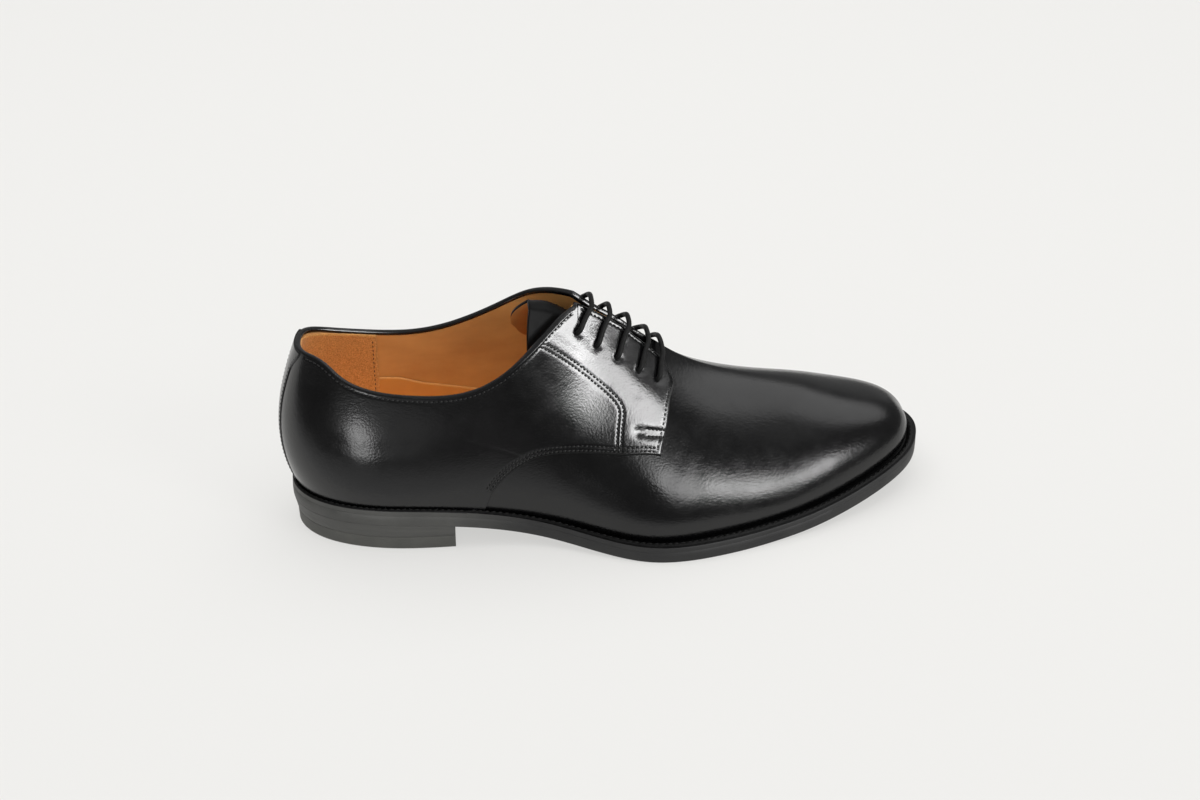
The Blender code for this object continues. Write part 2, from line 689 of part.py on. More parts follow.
def lace_route():
    """One lace: across each pair of eyelets on top, and on to the next pair under the facing."""
    lay = QUARTER_FRONT_STEP + LACE_CLEAR + LACE_RADIUS
    under = WALL + LACE_CLEAR + LACE_RADIUS

    def on_facing(side, way, height, lift):
        normal = last_normal(np.array(side * way), np.array(height))
        return last_point(side * way, height) + normal * lift

    route = []
    start = LATERAL
    for row, (way, height, gain, rise) in enumerate(EYELET_ROWS):
        bar = {}
        for side in (LATERAL, MEDIAL):
            edge = throat_height(side * (way + gain))
            stops = [on_facing(side, way, height, -under), on_facing(side, way, height, lay)]
            for share, lift in ((0.35, lay), (0.75, lay), (1.0, lay + LACE_EDGE_LIFT)):
                stops.append(on_facing(side, way + gain * share, height + (edge - height) * share, lift))
            bar[side] = stops
        middle = (bar[LATERAL][-1] + bar[MEDIAL][-1]) / 2 + np.array([0, 0, rise])
        route.extend(bar[start])
        route.append(middle)
        route.extend(bar[-start][::-1])
        start = -start
        if row + 1 < len(EYELET_ROWS):
            next_way, next_height = EYELET_ROWS[row + 1][:2]
            for share in (0.35, 0.65):
                route.append(on_facing(start, way + (next_way - way) * share,
                                       height + (next_height - height) * share, -under))
    return even_steps(rounded(route, 3), LACE_STEP)


def build_laces(parent):
    path = lace_route()
    curve = bpy.data.curves.new("laces", "CURVE")
    curve.dimensions = "3D"
    curve.bevel_depth = LACE_RADIUS * MM
    curve.bevel_resolution = 2
    curve.use_fill_caps = True
    line = curve.splines.new("POLY")
    line.points.add(len(path) - 1)
    for point, place in zip(line.points, path):
        point.co = (*(place * MM), 1.0)
    laces = bpy.data.objects.new("laces", curve)
    bpy.context.scene.collection.objects.link(laces)
    laces.parent = parent
    add_material(laces, "laces", WAXED_CORD)


def main():
    for thing in list(bpy.data.objects):
        bpy.data.objects.remove(thing, do_unlink=True)
    origin = bpy.data.objects.new("shoe_origin", None)
    bpy.context.scene.collection.objects.link(origin)
    build_outsole(origin)
    build_edge_strip("welt", np.linspace(WELT_END, 2 - WELT_END, 80), 0.0, WELT_BLACK, origin)
    rand_end = WELT_END - RAND_GAP_WAY
    build_edge_strip("heel_rand", np.linspace(-rand_end, rand_end, 37), RAND_INSET, WELT_BLACK, origin)
    build_heel(origin)
    build_insole(origin)
    upper = build_upper(origin)
    build_tongue(origin)
    build_laces(origin)

    # The origin goes under the middle of the whole: the upper's heel bulge, and the sole's toe and sides
    outline = sole_outline(np.linspace(-1, 1, 721)) * MM
    heel_back = min(vertex.co.x for vertex in upper.data.vertices)
    middle_x = (heel_back + outline[:, 0].max()) / 2
    middle_y = (outline[:, 1].min() + outline[:, 1].max()) / 2
    origin.location = (-middle_x, -middle_y, 0.0)


main()
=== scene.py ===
import math
import random

import bpy
import numpy as np
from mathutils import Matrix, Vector
from mathutils.kdtree import KDTree


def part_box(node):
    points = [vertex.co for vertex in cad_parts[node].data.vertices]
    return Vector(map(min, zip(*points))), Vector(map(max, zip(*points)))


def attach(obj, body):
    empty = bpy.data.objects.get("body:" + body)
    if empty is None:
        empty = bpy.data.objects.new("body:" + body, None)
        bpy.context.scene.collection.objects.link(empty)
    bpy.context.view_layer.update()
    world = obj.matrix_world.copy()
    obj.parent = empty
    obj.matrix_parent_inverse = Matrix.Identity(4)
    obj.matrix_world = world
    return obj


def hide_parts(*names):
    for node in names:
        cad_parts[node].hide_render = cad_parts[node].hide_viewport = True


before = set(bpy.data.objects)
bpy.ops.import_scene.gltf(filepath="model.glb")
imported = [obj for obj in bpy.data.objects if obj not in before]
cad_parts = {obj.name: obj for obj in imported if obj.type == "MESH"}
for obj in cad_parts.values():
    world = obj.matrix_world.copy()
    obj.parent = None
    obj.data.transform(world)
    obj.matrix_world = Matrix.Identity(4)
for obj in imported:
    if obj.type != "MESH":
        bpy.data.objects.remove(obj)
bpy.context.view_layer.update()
mm = 0.001
lateral, medial = 1, -1
print("frame loaded:", len(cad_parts), "nodes")


# Shape of the last, as in the solids: ribs from the feather line up to the top line, sizes in millimetres
last = {
    "length": 295.8, "ballWidth": 98.6, "instep": 103.8, "heelHeight": 14.3, "toeSpring": 14.6,
    "spineFrom": 0.53, "squareRibsEnd": 0.55, "acrossRibsFrom": 0.72,
    "seatEnd": 0.149, "ballFrom": 0.569, "springFrom": 0.678, "springEnd": 1.016,
    "weltThick": 3.0, "outsoleThick": 5.5,
    "columns": ("way", "along", "lateral", "medial", "topAlong", "topMid", "topHalf", "top",
                "lean", "wall", "turn", "crown"),
    "rows": (
        (0.00, 0.000, 0.000, 0.000, 0.033, 0.000, 0.000, 1.060, 22.5, 0.366, 76, 0.231),   # heel back
        (0.08, 0.031, -0.196, 0.203, 0.047, 0.000, 0.117, 1.069, 18.0, 0.347, 77, 0.231),
        (0.18, 0.129, -0.332, 0.304, 0.129, 0.000, 0.193, 1.089, 12.0, 0.318, 78, 0.231),
        (0.30, 0.264, -0.360, 0.284, 0.254, 0.005, 0.198, 1.118, 9.0, 0.289, 74, 0.231),
        (0.42, 0.400, -0.404, 0.264, 0.379, 0.012, 0.132, 1.140, 9.0, 0.270, 59, 0.231),
        (0.53, 0.525, -0.546, 0.353, 0.491, 0.019, 0.000, 1.000, 11.0, 0.241, 48, 0.226),  # instep
        (0.64, 0.637, -0.547, 0.426, 0.610, 0.034, 0.000, 0.716, 14.0, 0.202, 21, 0.250),
        (0.74, 0.745, -0.461, 0.453, 0.727, 0.061, 0.000, 0.573, 16.0, 0.154, 5, 0.205),   # ball
        (0.84, 0.850, -0.343, 0.389, 0.822, 0.081, 0.000, 0.505, 16.0, 0.166, 0, 0.192),
        (0.93, 0.969, -0.122, 0.296, 0.916, 0.094, 0.000, 0.421, 14.5, 0.146, 0, 0.140),
        (0.97, 0.993, -0.010, 0.202, 0.973, 0.096, 0.000, 0.359, 15.0, 0.098, 0, 0.075),
        (1.00, 1.000, 0.096, 0.096, 1.000, 0.096, 0.000, 0.216, 15.0, 0.000, 0, 0.000),    # toe tip
    ),
    # front of the toe box, fuller than the rows give it: way, topAlong, top
    "toeFront": ((0.985, 0.9955, 0.305),),
    # how far the sole stands out from the feather line: way, lateral, medial
    "edge": ((0.00, 2.5, 2.5), (0.18, 2.5, 2.5), (0.35, 3.0, 2.0), (0.50, 4.5, 3.0),
             (0.64, 5.5, 4.5), (0.80, 5.5, 4.5), (1.00, 5.0, 5.0)),
}


def column(rows, index):
    return np.array([row[index] for row in rows], float)


def smoothCurve(knots, values, start="flat", end="flat", closed=False):
    knots, values = np.asarray(knots, float), np.asarray(values, float)
    count, step = len(knots), np.diff(knots)
    slope = np.diff(values) / step
    matrix, right = np.zeros((count, count)), np.zeros(count)
    for i in range(1, count - 1):
        matrix[i, i - 1:i + 2] = step[i - 1], 2 * (step[i - 1] + step[i]), step[i]
        right[i] = 6 * (slope[i] - slope[i - 1])
    if closed:
        matrix[0, [0, 1, -2]] = 2 * (step[0] + step[-1]), step[0], step[-1]
        right[0] = 6 * (slope[0] - slope[-1])
        matrix[-1, [0, -1]] = 1, -1
    else:
        matrix[0, 0] = matrix[-1, -1] = 1
        if start == "flat":
            matrix[0, :2] = 2 * step[0], step[0]
            right[0] = 6 * slope[0]
        if end == "flat":
            matrix[-1, -2:] = step[-1], 2 * step[-1]
            right[-1] = -6 * slope[-1]
    bend = np.linalg.solve(matrix, right)

    def curve(at):
        at = np.asarray(at, float)
        i = np.clip(np.searchsorted(knots, at, side="right") - 1, 0, count - 2)
        a = (knots[i + 1] - at) / step[i]
        b = 1 - a
        bow = ((a ** 3 - a) * bend[i] + (b ** 3 - b) * bend[i + 1]) * step[i] ** 2 / 6
        return a * values[i] + b * values[i + 1] + bow

    return curve


# Curve that never swings past its rows, for edges of panels
def gentleCurve(rows, index=1):
    x, y = column(rows, 0), column(rows, index)
    step, slope = np.diff(x), np.diff(y) / np.diff(x)
    tangent = np.zeros(len(x))
    tangent[0], tangent[-1] = slope[0], slope[-1]
    for i in range(1, len(x) - 1):
        if slope[i - 1] * slope[i] > 0:
            tangent[i] = 2 * slope[i - 1] * slope[i] / (slope[i - 1] + slope[i])

    def curve(at):
        at = np.clip(np.asarray(at, float), x[0], x[-1])
        i = np.clip(np.searchsorted(x, at, side="right") - 1, 0, len(x) - 2)
        t = (at - x[i]) / step[i]
        ends = (2 * t ** 3 - 3 * t ** 2 + 1) * y[i] + (3 * t ** 2 - 2 * t ** 3) * y[i + 1]
        return ends + step[i] * ((t ** 3 - 2 * t ** 2 + t) * tangent[i] + (t ** 3 - t ** 2) * tangent[i + 1])

    return curve


def makeLastCurves():
    table = {name: column(last["rows"], i) for i, name in enumerate(last["columns"])}
    way = table["way"]
    loop = np.concatenate([-way[::-1], way[1:]])
    along = np.concatenate([table["along"][::-1], table["along"][1:]]) * last["length"]
    across = np.concatenate([table["medial"][::-1], table["lateral"][1:]]) * last["ballWidth"]
    curves = {"featherX": smoothCurve(loop, along, closed=True),
              "featherY": smoothCurve(loop, across, closed=True)}
    units = {"topAlong": last["length"], "topMid": last["ballWidth"], "top": last["instep"], "lean": 1.0,
             "wall": last["instep"], "turn": 1.0, "crown": last["instep"]}
    for name, size in units.items():
        ways, values = way, table[name]
        if name in ("topAlong", "top"):
            at = 1 if name == "topAlong" else 2
            ways = np.insert(way, -1, column(last["toeFront"], 0))
            values = np.insert(values, -1, column(last["toeFront"], at))
        curves[name] = smoothCurve(ways, values * size, end="free")
    split = way <= last["spineFrom"]
    curves["topHalf"] = smoothCurve(way[split], table["topHalf"][split] * last["ballWidth"], start="free")
    for side, index in ((lateral, 1), (medial, 2)):
        curves["edge", side] = smoothCurve(column(last["edge"], 0), column(last["edge"], index))
    return curves


curves = makeLastCurves()


def soleTop(x):
    share = np.asarray(x, float) / last["length"]
    waist = np.clip((share - last["seatEnd"]) / (last["ballFrom"] - last["seatEnd"]), 0, 1)
    spring = np.clip((share - last["springFrom"]) / (last["springEnd"] - last["springFrom"]), 0, None)
    heel = last["heelHeight"] * 0.5 * (1 + np.cos(math.pi * waist))
    return last["weltThick"] + last["outsoleThick"] + heel + last["toeSpring"] * spring ** 2


def featherPlan(turn):
    return np.stack([curves["featherX"](turn), curves["featherY"](turn)], -1)


def outward(turn):
    turn = np.asarray(turn, float)
    small = 1e-4
    tangent = featherPlan((turn + small + 1) % 2 - 1) - featherPlan((turn - small + 1) % 2 - 1)
    normal = np.stack([tangent[..., 1], -tangent[..., 0]], -1)
    return normal / np.linalg.norm(normal, axis=-1, keepdims=True)


def lastPoint(turn, v):
    turn, v = np.broadcast_arrays(np.asarray(turn, float), np.asarray(v, float))
    way = np.abs(turn)
    up = np.array([0.0, 0.0, 1.0])
    plan = featherPlan(turn)
    foot = np.concatenate([plan, soleTop(plan[..., :1])], -1)
    out = np.concatenate([outward(turn), np.zeros(turn.shape + (1,))], -1)
    half = np.where(way < last["spineFrom"], curves["topHalf"](np.minimum(way, last["spineFrom"])), 0.0)
    topY = curves["topMid"](way) - np.sign(turn) * half
    top = np.stack([curves["topAlong"](way), topY, curves["top"](way)], -1)
    lean = np.radians(curves["lean"](way))[..., None]
    crownTurn = np.radians(curves["turn"](way))[..., None]
    wall = foot + curves["wall"](way)[..., None] * (up * np.cos(lean) + out * np.sin(lean))
    across = np.stack([np.zeros_like(way), -np.sign(turn), np.zeros_like(way)], -1)
    share = (way - last["squareRibsEnd"]) / (last["acrossRibsFrom"] - last["squareRibsEnd"])
    share = np.clip(share, 0, 1)[..., None]
    over = out * (1 - share) + across * share
    crown = top + curves["crown"](way)[..., None] * (over * np.cos(crownTurn) - up * np.sin(crownTurn))
    v = v[..., None]
    return (1 - v) ** 3 * foot + 3 * (1 - v) ** 2 * v * wall + 3 * (1 - v) * v ** 2 * crown + v ** 3 * top


def unit(vectors):
    return vectors / np.maximum(np.linalg.norm(vectors, axis=-1, keepdims=True), 1e-9)


# Distance walked along a line up to each of its points
def walked(points):
    return np.concatenate([[0], np.cumsum(np.linalg.norm(np.diff(points, axis=0), axis=1))])


# Values of a line at some distances from its start
def valuesAt(distances, length, values):
    return np.stack([np.interp(distances, length, values[:, k]) for k in range(values.shape[1])], -1)


# Line with its corners cut
def rounded(points, passes):
    points = np.asarray(points, float)
    for _ in range(passes):
        cut = np.empty((2 * len(points) - 2, points.shape[1]))
        cut[0::2] = 0.75 * points[:-1] + 0.25 * points[1:]
        cut[1::2] = 0.25 * points[:-1] + 0.75 * points[1:]
        points = np.concatenate([points[:1], cut, points[-1:]])
    return points


def slopes(turn, v):
    small = 1e-3
    turn, v = np.broadcast_arrays(np.asarray(turn, float), np.asarray(v, float))
    byTurn = (lastPoint(turn + small, v) - lastPoint(turn - small, v)) / (2 * small)
    byHeight = (lastPoint(turn, v + small) - lastPoint(turn, v - small)) / (2 * small)
    return byTurn, byHeight


def lastNormal(turn, v):
    byTurn, byHeight = slopes(turn, v)
    return unit(np.cross(byTurn, byHeight))


def lifted(turn, v, lift):
    lift = np.broadcast_to(np.asarray(lift, float), np.broadcast_shapes(np.shape(turn), np.shape(v)))
    return lastPoint(turn, v) + lastNormal(turn, v) * lift[..., None]


def soleOutline(turn, inset=0.0):
    turn = np.asarray(turn, float)
    way = np.abs(turn)
    reach = np.where(turn >= 0, curves["edge", lateral](way), curves["edge", medial](way))
    return featherPlan(turn) + outward(turn) * (reach - inset)[..., None]


# Moves each place of a line on the last by its own step
def stepLine(turn, v, steps):
    byTurn, byHeight = slopes(turn, v)
    moved = np.array([np.linalg.lstsq(np.stack([a, b], 1), step, rcond=None)[0]
                      for a, b, step in zip(byTurn, byHeight, steps)])
    return turn + moved[:, 0], v + moved[:, 1]


# Moves a line sideways by a distance; a positive one goes up or forward of the line
def insetLine(turn, v, distance):
    tangent = unit(np.gradient(lastPoint(turn, v), axis=0))
    return stepLine(turn, v, unit(np.cross(lastNormal(turn, v), tangent)) * distance)


# Last frame to the part's frame: under the middle of the upper's heel bulge and the sole's toe and sides
outline = soleOutline(np.linspace(-1, 1, 721))
shift = np.array([
    -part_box("upper")[0].x / mm - outline[:, 0].max(),
    -(outline[:, 1].min() + outline[:, 1].max()) / 2,
    0.0,
])
print("last ready, shift", np.round(shift, 2))


# Upper: panel edges in ways and heights, walls in millimetres
upper = {
    "wall": 2.0, "quarterFrontStep": 1.2, "quarterBackStep": 0.6, "stepGrows": (0.3, 0.5),
    "stripWay": 0.030, "waistWay": 0.334, "cornerWay": 0.488, "frontWay": 0.600,
    "facingHead": 0.90, "collarEnds": 0.45, "crownFrom": 0.6, "crownSteps": 161,
    # collar: way, lateral height, medial height
    "collar": ((0.00, 0.800, 0.800), (0.08, 0.782, 0.748), (0.16, 0.652, 0.660), (0.24, 0.588, 0.616),
               (0.32, 0.594, 0.667), (0.38, 0.674, 0.740), (0.43, 0.780, 0.832), (0.50, 0.962, 0.968)),
    # half gap between the facings: way, gap
    "throat": ((0.48, 6.0), (0.50, 4.2), (0.53, 3.3), (0.56, 3.3), (0.58, 4.3), (0.60, 5.6), (0.62, 8.4)),
    # lower edge of the quarter: way, height
    "low": ((0.300, -0.040), (0.320, -0.010), (0.334, 0.106), (0.352, 0.195), (0.375, 0.262), (0.410, 0.322),
            (0.460, 0.359), (0.520, 0.390), (0.582, 0.434), (0.700, 0.440)),
    # front edge of the facing: height, way
    "front": ((0.00, 0.570), (0.43, 0.582), (0.55, 0.597), (0.69, 0.612), (0.80, 0.626), (0.89, 0.617),
              (1.00, 0.610)),
    # edge of the back strip: height, way
    "strip": ((0.00, 0.020), (0.40, 0.018), (0.65, 0.026), (0.80, 0.055), (1.00, 0.060)),
}
collarHeight = {side: smoothCurve(column(upper["collar"], 0), column(upper["collar"], index), end="free")
                for side, index in ((lateral, 1), (medial, 2))}
throatGap = gentleCurve(upper["throat"])
lowEdge = gentleCurve(upper["low"])
frontEdge = gentleCurve(upper["front"])
stripEdge = gentleCurve(upper["strip"])


def heightOffMiddle(turn, gap):
    heights = np.linspace(upper["crownFrom"], 1.0, upper["crownSteps"])
    points = lastPoint(np.full(len(heights), turn), heights)
    offMiddle = np.abs(points[:, 1] - curves["topMid"](abs(turn)))
    return float(np.interp(-gap, -offMiddle, heights))


def throatHeight(turn):
    return heightOffMiddle(turn, float(throatGap(abs(turn))))


# Way of a net column at a height: columns follow the back strip's edge and the facing's front edge
def netWay(u, v):
    v = np.asarray(v, float)
    even = (0, upper["stripWay"], upper["waistWay"], upper["cornerWay"], upper["frontWay"], 1)
    drawn = (0 * v, stripEdge(v), 0 * v + even[2], 0 * v + even[3], frontEdge(v), 0 * v + 1)
    i = int(np.clip(np.searchsorted(even, u, side="right") - 1, 0, 4))
    share = (u - even[i]) / (even[i + 1] - even[i])
    return drawn[i] * (1 - share) + drawn[i + 1] * share


def rimHeight(side, u):
    if u > upper["cornerWay"]:
        return throatHeight(side * float(netWay(u, upper["facingHead"])))
    return min(float(collarHeight[side](u)), throatHeight(side * u) if u > upper["collarEnds"] else 1.0)


def quarterRaise(turn, v):
    share = lastPoint(turn, v)[..., 0] / last["length"]
    low, high = upper["stepGrows"]
    forward = np.clip((share - low) / (high - low), 0, 1)
    return upper["quarterBackStep"] + (upper["quarterFrontStep"] - upper["quarterBackStep"]) * forward


# Distance of every point of a grid to the nearest of some lines
def distanceTo(lines, grid):
    places = np.concatenate(lines)
    tree = KDTree(len(places))
    for i, place in enumerate(places):
        tree.insert(place, i)
    tree.balance()
    return np.array([tree.find(point)[2] for point in grid.reshape(-1, 3)]).reshape(grid.shape[:-1])


def soft(distance, half):
    return np.exp(-(np.asarray(distance) / half) ** 2)


# Share from 0 to 1 that starts and ends softly
def ease(share):
    share = np.clip(share, 0, 1)
    return share * share * (3 - 2 * share)


# Mesh helpers: points in millimetres of the last's frame
def gridFaces(columnsCount, rowsCount):
    faces = []
    for i in range(columnsCount - 1):
        for j in range(rowsCount - 1):
            a = i * rowsCount + j
            faces.append((a, a + rowsCount, a + rowsCount + 1, a + 1))
    return faces


# Faces of a tube of rings, closed at both ends
def tubeFaces(count, sides, base=0):
    faces = []
    end = base + (count - 1) * sides
    for ring in range(base, end, sides):
        for k in range(sides):
            n = (k + 1) % sides
            faces.append((ring + k, ring + n, ring + sides + n, ring + sides + k))
    return faces + [tuple(reversed(range(base, base + sides))), tuple(range(end, end + sides))]


# Points that fall in the same step are joined
weldStep = 0.002


def weld(points, faces):
    keys, first = {}, []
    for i, key in enumerate(map(tuple, np.round(np.asarray(points) / weldStep).astype(int))):
        first.append(keys.setdefault(key, i))
    used = sorted(set(first))
    fresh = {old: new for new, old in enumerate(used)}
    kept = []
    for face in faces:
        corners = list(dict.fromkeys(fresh[first[i]] for i in face))
        if len(corners) > 2:
            kept.append(tuple(corners))
    return np.asarray(points)[used], kept


def vertexNormals(points, faces):
    normals = np.zeros_like(points)
    for face in faces:
        p = points[list(face)]
        normals[list(face)] += np.cross(p[2] - p[0], p[-1] - p[1])
    return unit(normals)


def thicken(points, faces, depth):
    points, faces = weld(points, faces)
    count = len(points)
    inner = points - vertexNormals(points, faces) * depth
    edges = {(a, b) for face in faces for a, b in zip(face, face[1:] + face[:1])}
    rims = [(b, a, a + count, b + count) for a, b in edges if (b, a) not in edges]
    backs = [tuple(i + count for i in reversed(face)) for face in faces]
    return np.concatenate([points, inner]), faces + backs + sorted(rims)


def addPiece(name, points, faces, materials, nodes=(), paint=None, sharp=None):
    mesh = bpy.data.meshes.new(name)
    mesh.from_pydata([tuple(p) for p in (np.asarray(points) + shift) * mm], [], [tuple(f) for f in faces])
    for material in materials:
        mesh.materials.append(material)
    if paint is not None:
        mesh.polygons.foreach_set("material_index", np.asarray(paint, np.int32))
    mesh.validate()
    mesh.shade_smooth()
    if sharp is not None:
        mesh.set_sharp_from_angle(angle=math.radians(sharp))
    piece = bpy.data.objects.new(name, mesh)
    bpy.context.scene.collection.objects.link(piece)
    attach(piece, "root")
    if nodes:
        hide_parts(*nodes)
    print("piece", name, len(mesh.polygons), "faces")
    return piece


def grey(level):
    return (level,) * 3


# Inputs of a node: plain values are set, outputs of other nodes are linked
def feed(tree, node, inputs):
    for name, value in inputs.items():
        if isinstance(value, bpy.types.NodeSocket):
            tree.links.new(value, node.inputs[name])
        else:
            node.inputs[name].default_value = value
    return node


def addNode(tree, kind, inputs):
    return feed(tree, tree.nodes.new(kind), inputs)


def objectPlace(tree):
    return tree.nodes.new("ShaderNodeTexCoord").outputs["Object"]


# Materials: one builder for every finish, read from the finish's own dictionary
def surface(name, look):
    material = bpy.data.materials.new(name)
    material.use_nodes = True
    tree = material.node_tree
    place = objectPlace(tree)

    def noise(scale, detail, rough, stretch=None):
        source = place
        if stretch:
            mapping = addNode(tree, "ShaderNodeMapping", {"Scale": stretch, "Vector": place})
            source = mapping.outputs["Vector"]
        inputs = {"Scale": scale, "Detail": detail, "Roughness": rough, "Vector": source}
        return addNode(tree, "ShaderNodeTexNoise", inputs).outputs["Fac"]

    def ramp(factor, *stops):
        node = addNode(tree, "ShaderNodeValToRGB", {"Fac": factor})
        for element, (at, colour) in zip(node.color_ramp.elements, stops):
            element.position = at
            element.color = (*colour, 1.0)
        return node.outputs["Color"]

    # Colour along the shoe's length, from one at the heel to another towards the toe; it paints the sole edge
    # lighter towards the heel, painted light where less light falls
    def fade(paintedLightHeelColour, toeColour, span):
        along = addNode(tree, "ShaderNodeSeparateXYZ", {"Vector": place}).outputs["X"]
        inputs = {"From Min": span[0], "From Max": span[1], "Value": along}
        share = addNode(tree, "ShaderNodeMapRange", inputs).outputs["Result"]
        mix = tree.nodes.new("ShaderNodeMix")
        mix.data_type = "RGBA"
        feed(tree, mix, {0: share, 6: paintedLightHeelColour, 7: toeColour})
        return mix.outputs[2]

    tint = noise(look["tintScale"], 4.0, 0.55, look.get("tintStretch"))
    colour = ramp(tint, (0.30, look["dark"]), (0.70, look["light"]))
    if "paintedLightHeelwards" in look:
        paintedLightHeelColour = ramp(tint, (0.30, look["heelDark"]), (0.70, look["heelLight"]))
        colour = fade(paintedLightHeelColour, colour, look["paintedLightHeelwards"])
    low, high = look["rough"]
    rough = ramp(noise(look["roughScale"], 4.0, 0.6), (0.3, grey(low)), (0.7, grey(high)))
    normal = {}
    for scale, depth, strength, *stretch in look["relief"]:
        height = noise(scale, 2.0, 0.5, *stretch)
        inputs = {"Strength": strength, "Distance": depth, "Height": height, **normal}
        normal = {"Normal": addNode(tree, "ShaderNodeBump", inputs).outputs["Normal"]}
    feed(tree, tree.nodes["Principled BSDF"], {
        "Base Color": colour, "Roughness": rough, **normal,
        "Specular IOR Level": look["specular"], "Sheen Weight": look.get("sheen", 0.0),
    })
    return material


# relief: scale, depth and strength of each layer of bumps, fine ones first, and its stretch if it has one
threads = {"tintScale": 700, "roughScale": 700, "relief": ((2600, 0.0001, 0.3),)}
finishes = {
    "polishedLeather": {
        "dark": (0.0012, 0.0012, 0.0014), "light": (0.0026, 0.0026, 0.0028), "tintScale": 90,
        "rough": (0.15, 0.23), "roughScale": 130, "specular": 0.5,
        "relief": ((1150, 0.00015, 0.46), (500, 0.0002, 0.18), (60, 0.0012, 0.06)),
    },
    "cutEdge": {
        "dark": grey(0.0015), "light": grey(0.0035), "tintScale": 300,
        "rough": (0.50, 0.65), "roughScale": 300, "specular": 0.15,
        "relief": ((1600, 0.0001, 0.3),),
    },
    "tongueLeather": {
        "dark": (0.002, 0.002, 0.0022), "light": grey(0.004), "tintScale": 120,
        "rough": (0.40, 0.52), "roughScale": 150, "specular": 0.12,
        "relief": ((1300, 0.00015, 0.16), (300, 0.0003, 0.10)),
    },
    "weltTop": {
        "dark": grey(0.002), "light": grey(0.005), "tintScale": 200,
        "rough": (0.30, 0.44), "roughScale": 260, "specular": 0.20,
        "relief": ((900, 0.0002, 0.20), (240, 0.0004, 0.12)),
    },
    # sole edge: painted light, lighter towards the heel where less light falls on it, up to the heel
    # leather's colours
    "soleEdge": {
        "dark": (0.017, 0.017, 0.0175), "light": grey(0.026), "tintScale": 60,
        "heelDark": (0.058, 0.058, 0.055), "heelLight": (0.080, 0.080, 0.075), "paintedLightHeelwards": (-0.078, -0.040),
        "rough": (0.48, 0.60), "roughScale": 90, "specular": 0.35,
        "relief": ((1200, 0.0001, 0.20, (0.15, 0.15, 1.0)), (500, 0.0001, 0.12)),
    },
    # heel leather: painted lighter than the sole edge, painted light for the shade that falls on the heel
    "heelLeather": {
        "dark": (0.058, 0.058, 0.055), "light": (0.080, 0.080, 0.075), "tintScale": 50,
        "tintStretch": (0.3, 0.3, 6.0), "rough": (0.46, 0.60), "roughScale": 90, "specular": 0.35,
        "relief": ((1000, 0.0001, 0.22, (0.12, 0.12, 1.0)), (400, 0.0001, 0.12)),
    },
    "liftRubber": {
        "dark": (0.078, 0.078, 0.072), "light": (0.100, 0.100, 0.092), "tintScale": 120,
        "rough": (0.58, 0.70), "roughScale": 120, "specular": 0.30,
        "relief": ((900, 0.0002, 0.20), (200, 0.0003, 0.10)),
    },
    "tanLining": {
        "dark": (0.575, 0.282, 0.088), "light": (0.755, 0.405, 0.134), "tintScale": 26,
        "tintStretch": (1.0, 1.0, 2.2), "rough": (0.48, 0.60), "roughScale": 90, "specular": 0.30,
        "relief": ((1100, 0.0002, 0.16), (150, 0.0006, 0.10, (0.5, 0.5, 2.0))),
    },
    # tongue's back: the tan lining painted darker, painted shade for the shadow inside the tongue's curl
    "shadedTongueLining": {
        "dark": (0.430, 0.195, 0.060), "light": (0.560, 0.270, 0.085), "tintScale": 60,
        "rough": (0.50, 0.62), "roughScale": 90, "specular": 0.25,
        "relief": ((1100, 0.0002, 0.16),),
    },
    "heelGrip": {
        "dark": (0.500, 0.215, 0.055), "light": (0.860, 0.440, 0.130), "tintScale": 1500,
        "rough": (0.80, 0.95), "roughScale": 300, "specular": 0.15, "sheen": 0.15,
        "relief": ((1400, 0.0004, 0.5), (500, 0.0005, 0.4)),
    },
    "tanSock": {
        "dark": (0.660, 0.300, 0.072), "light": (0.780, 0.380, 0.100), "tintScale": 30,
        "rough": (0.42, 0.52), "roughScale": 80, "specular": 0.32,
        "relief": ((1200, 0.0002, 0.12), (120, 0.0005, 0.08)),
    },
    "waxedCord": {
        "dark": grey(0.004), "light": grey(0.009), "tintScale": 900,
        "rough": (0.46, 0.62), "roughScale": 700, "specular": 0.22,
        "relief": ((2400, 0.0001, 0.3),),
    },
    "thread": {
        **threads, "dark": grey(0.002), "light": grey(0.005), "rough": (0.30, 0.44), "specular": 0.5,
    },
    "soleThread": {
        **threads, "dark": grey(0.002), "light": grey(0.004), "rough": (0.50, 0.62), "specular": 0.22,
    },
    "darkThread": {
        **threads, "dark": (0.030, 0.014, 0.008), "light": (0.060, 0.028, 0.014),
        "rough": (0.55, 0.70), "specular": 0.3,
    },
}
paints = {name: surface(name, look) for name, look in finishes.items()}
print("finishes ready:", len(paints))


# Camera of the photograph and the studio round the shoe
camera = {"place": (-0.1075, -0.8300, 0.5763), "yaw": 7.12, "dip": 31.86, "lens": 63.0}


def addCamera():
    data = bpy.data.cameras.new("camera")
    data.lens = camera["lens"]
    data.sensor_width = 36.0
    thing = bpy.data.objects.new("camera", data)
    bpy.context.scene.collection.objects.link(thing)
    yaw, dip = math.radians(camera["yaw"]), math.radians(camera["dip"])
    look = Vector((math.cos(dip) * math.sin(yaw), math.cos(dip) * math.cos(yaw), -math.sin(dip)))
    thing.location = camera["place"]
    thing.rotation_euler = look.to_track_quat("-Z", "Y").to_euler()
    bpy.context.scene.camera = thing


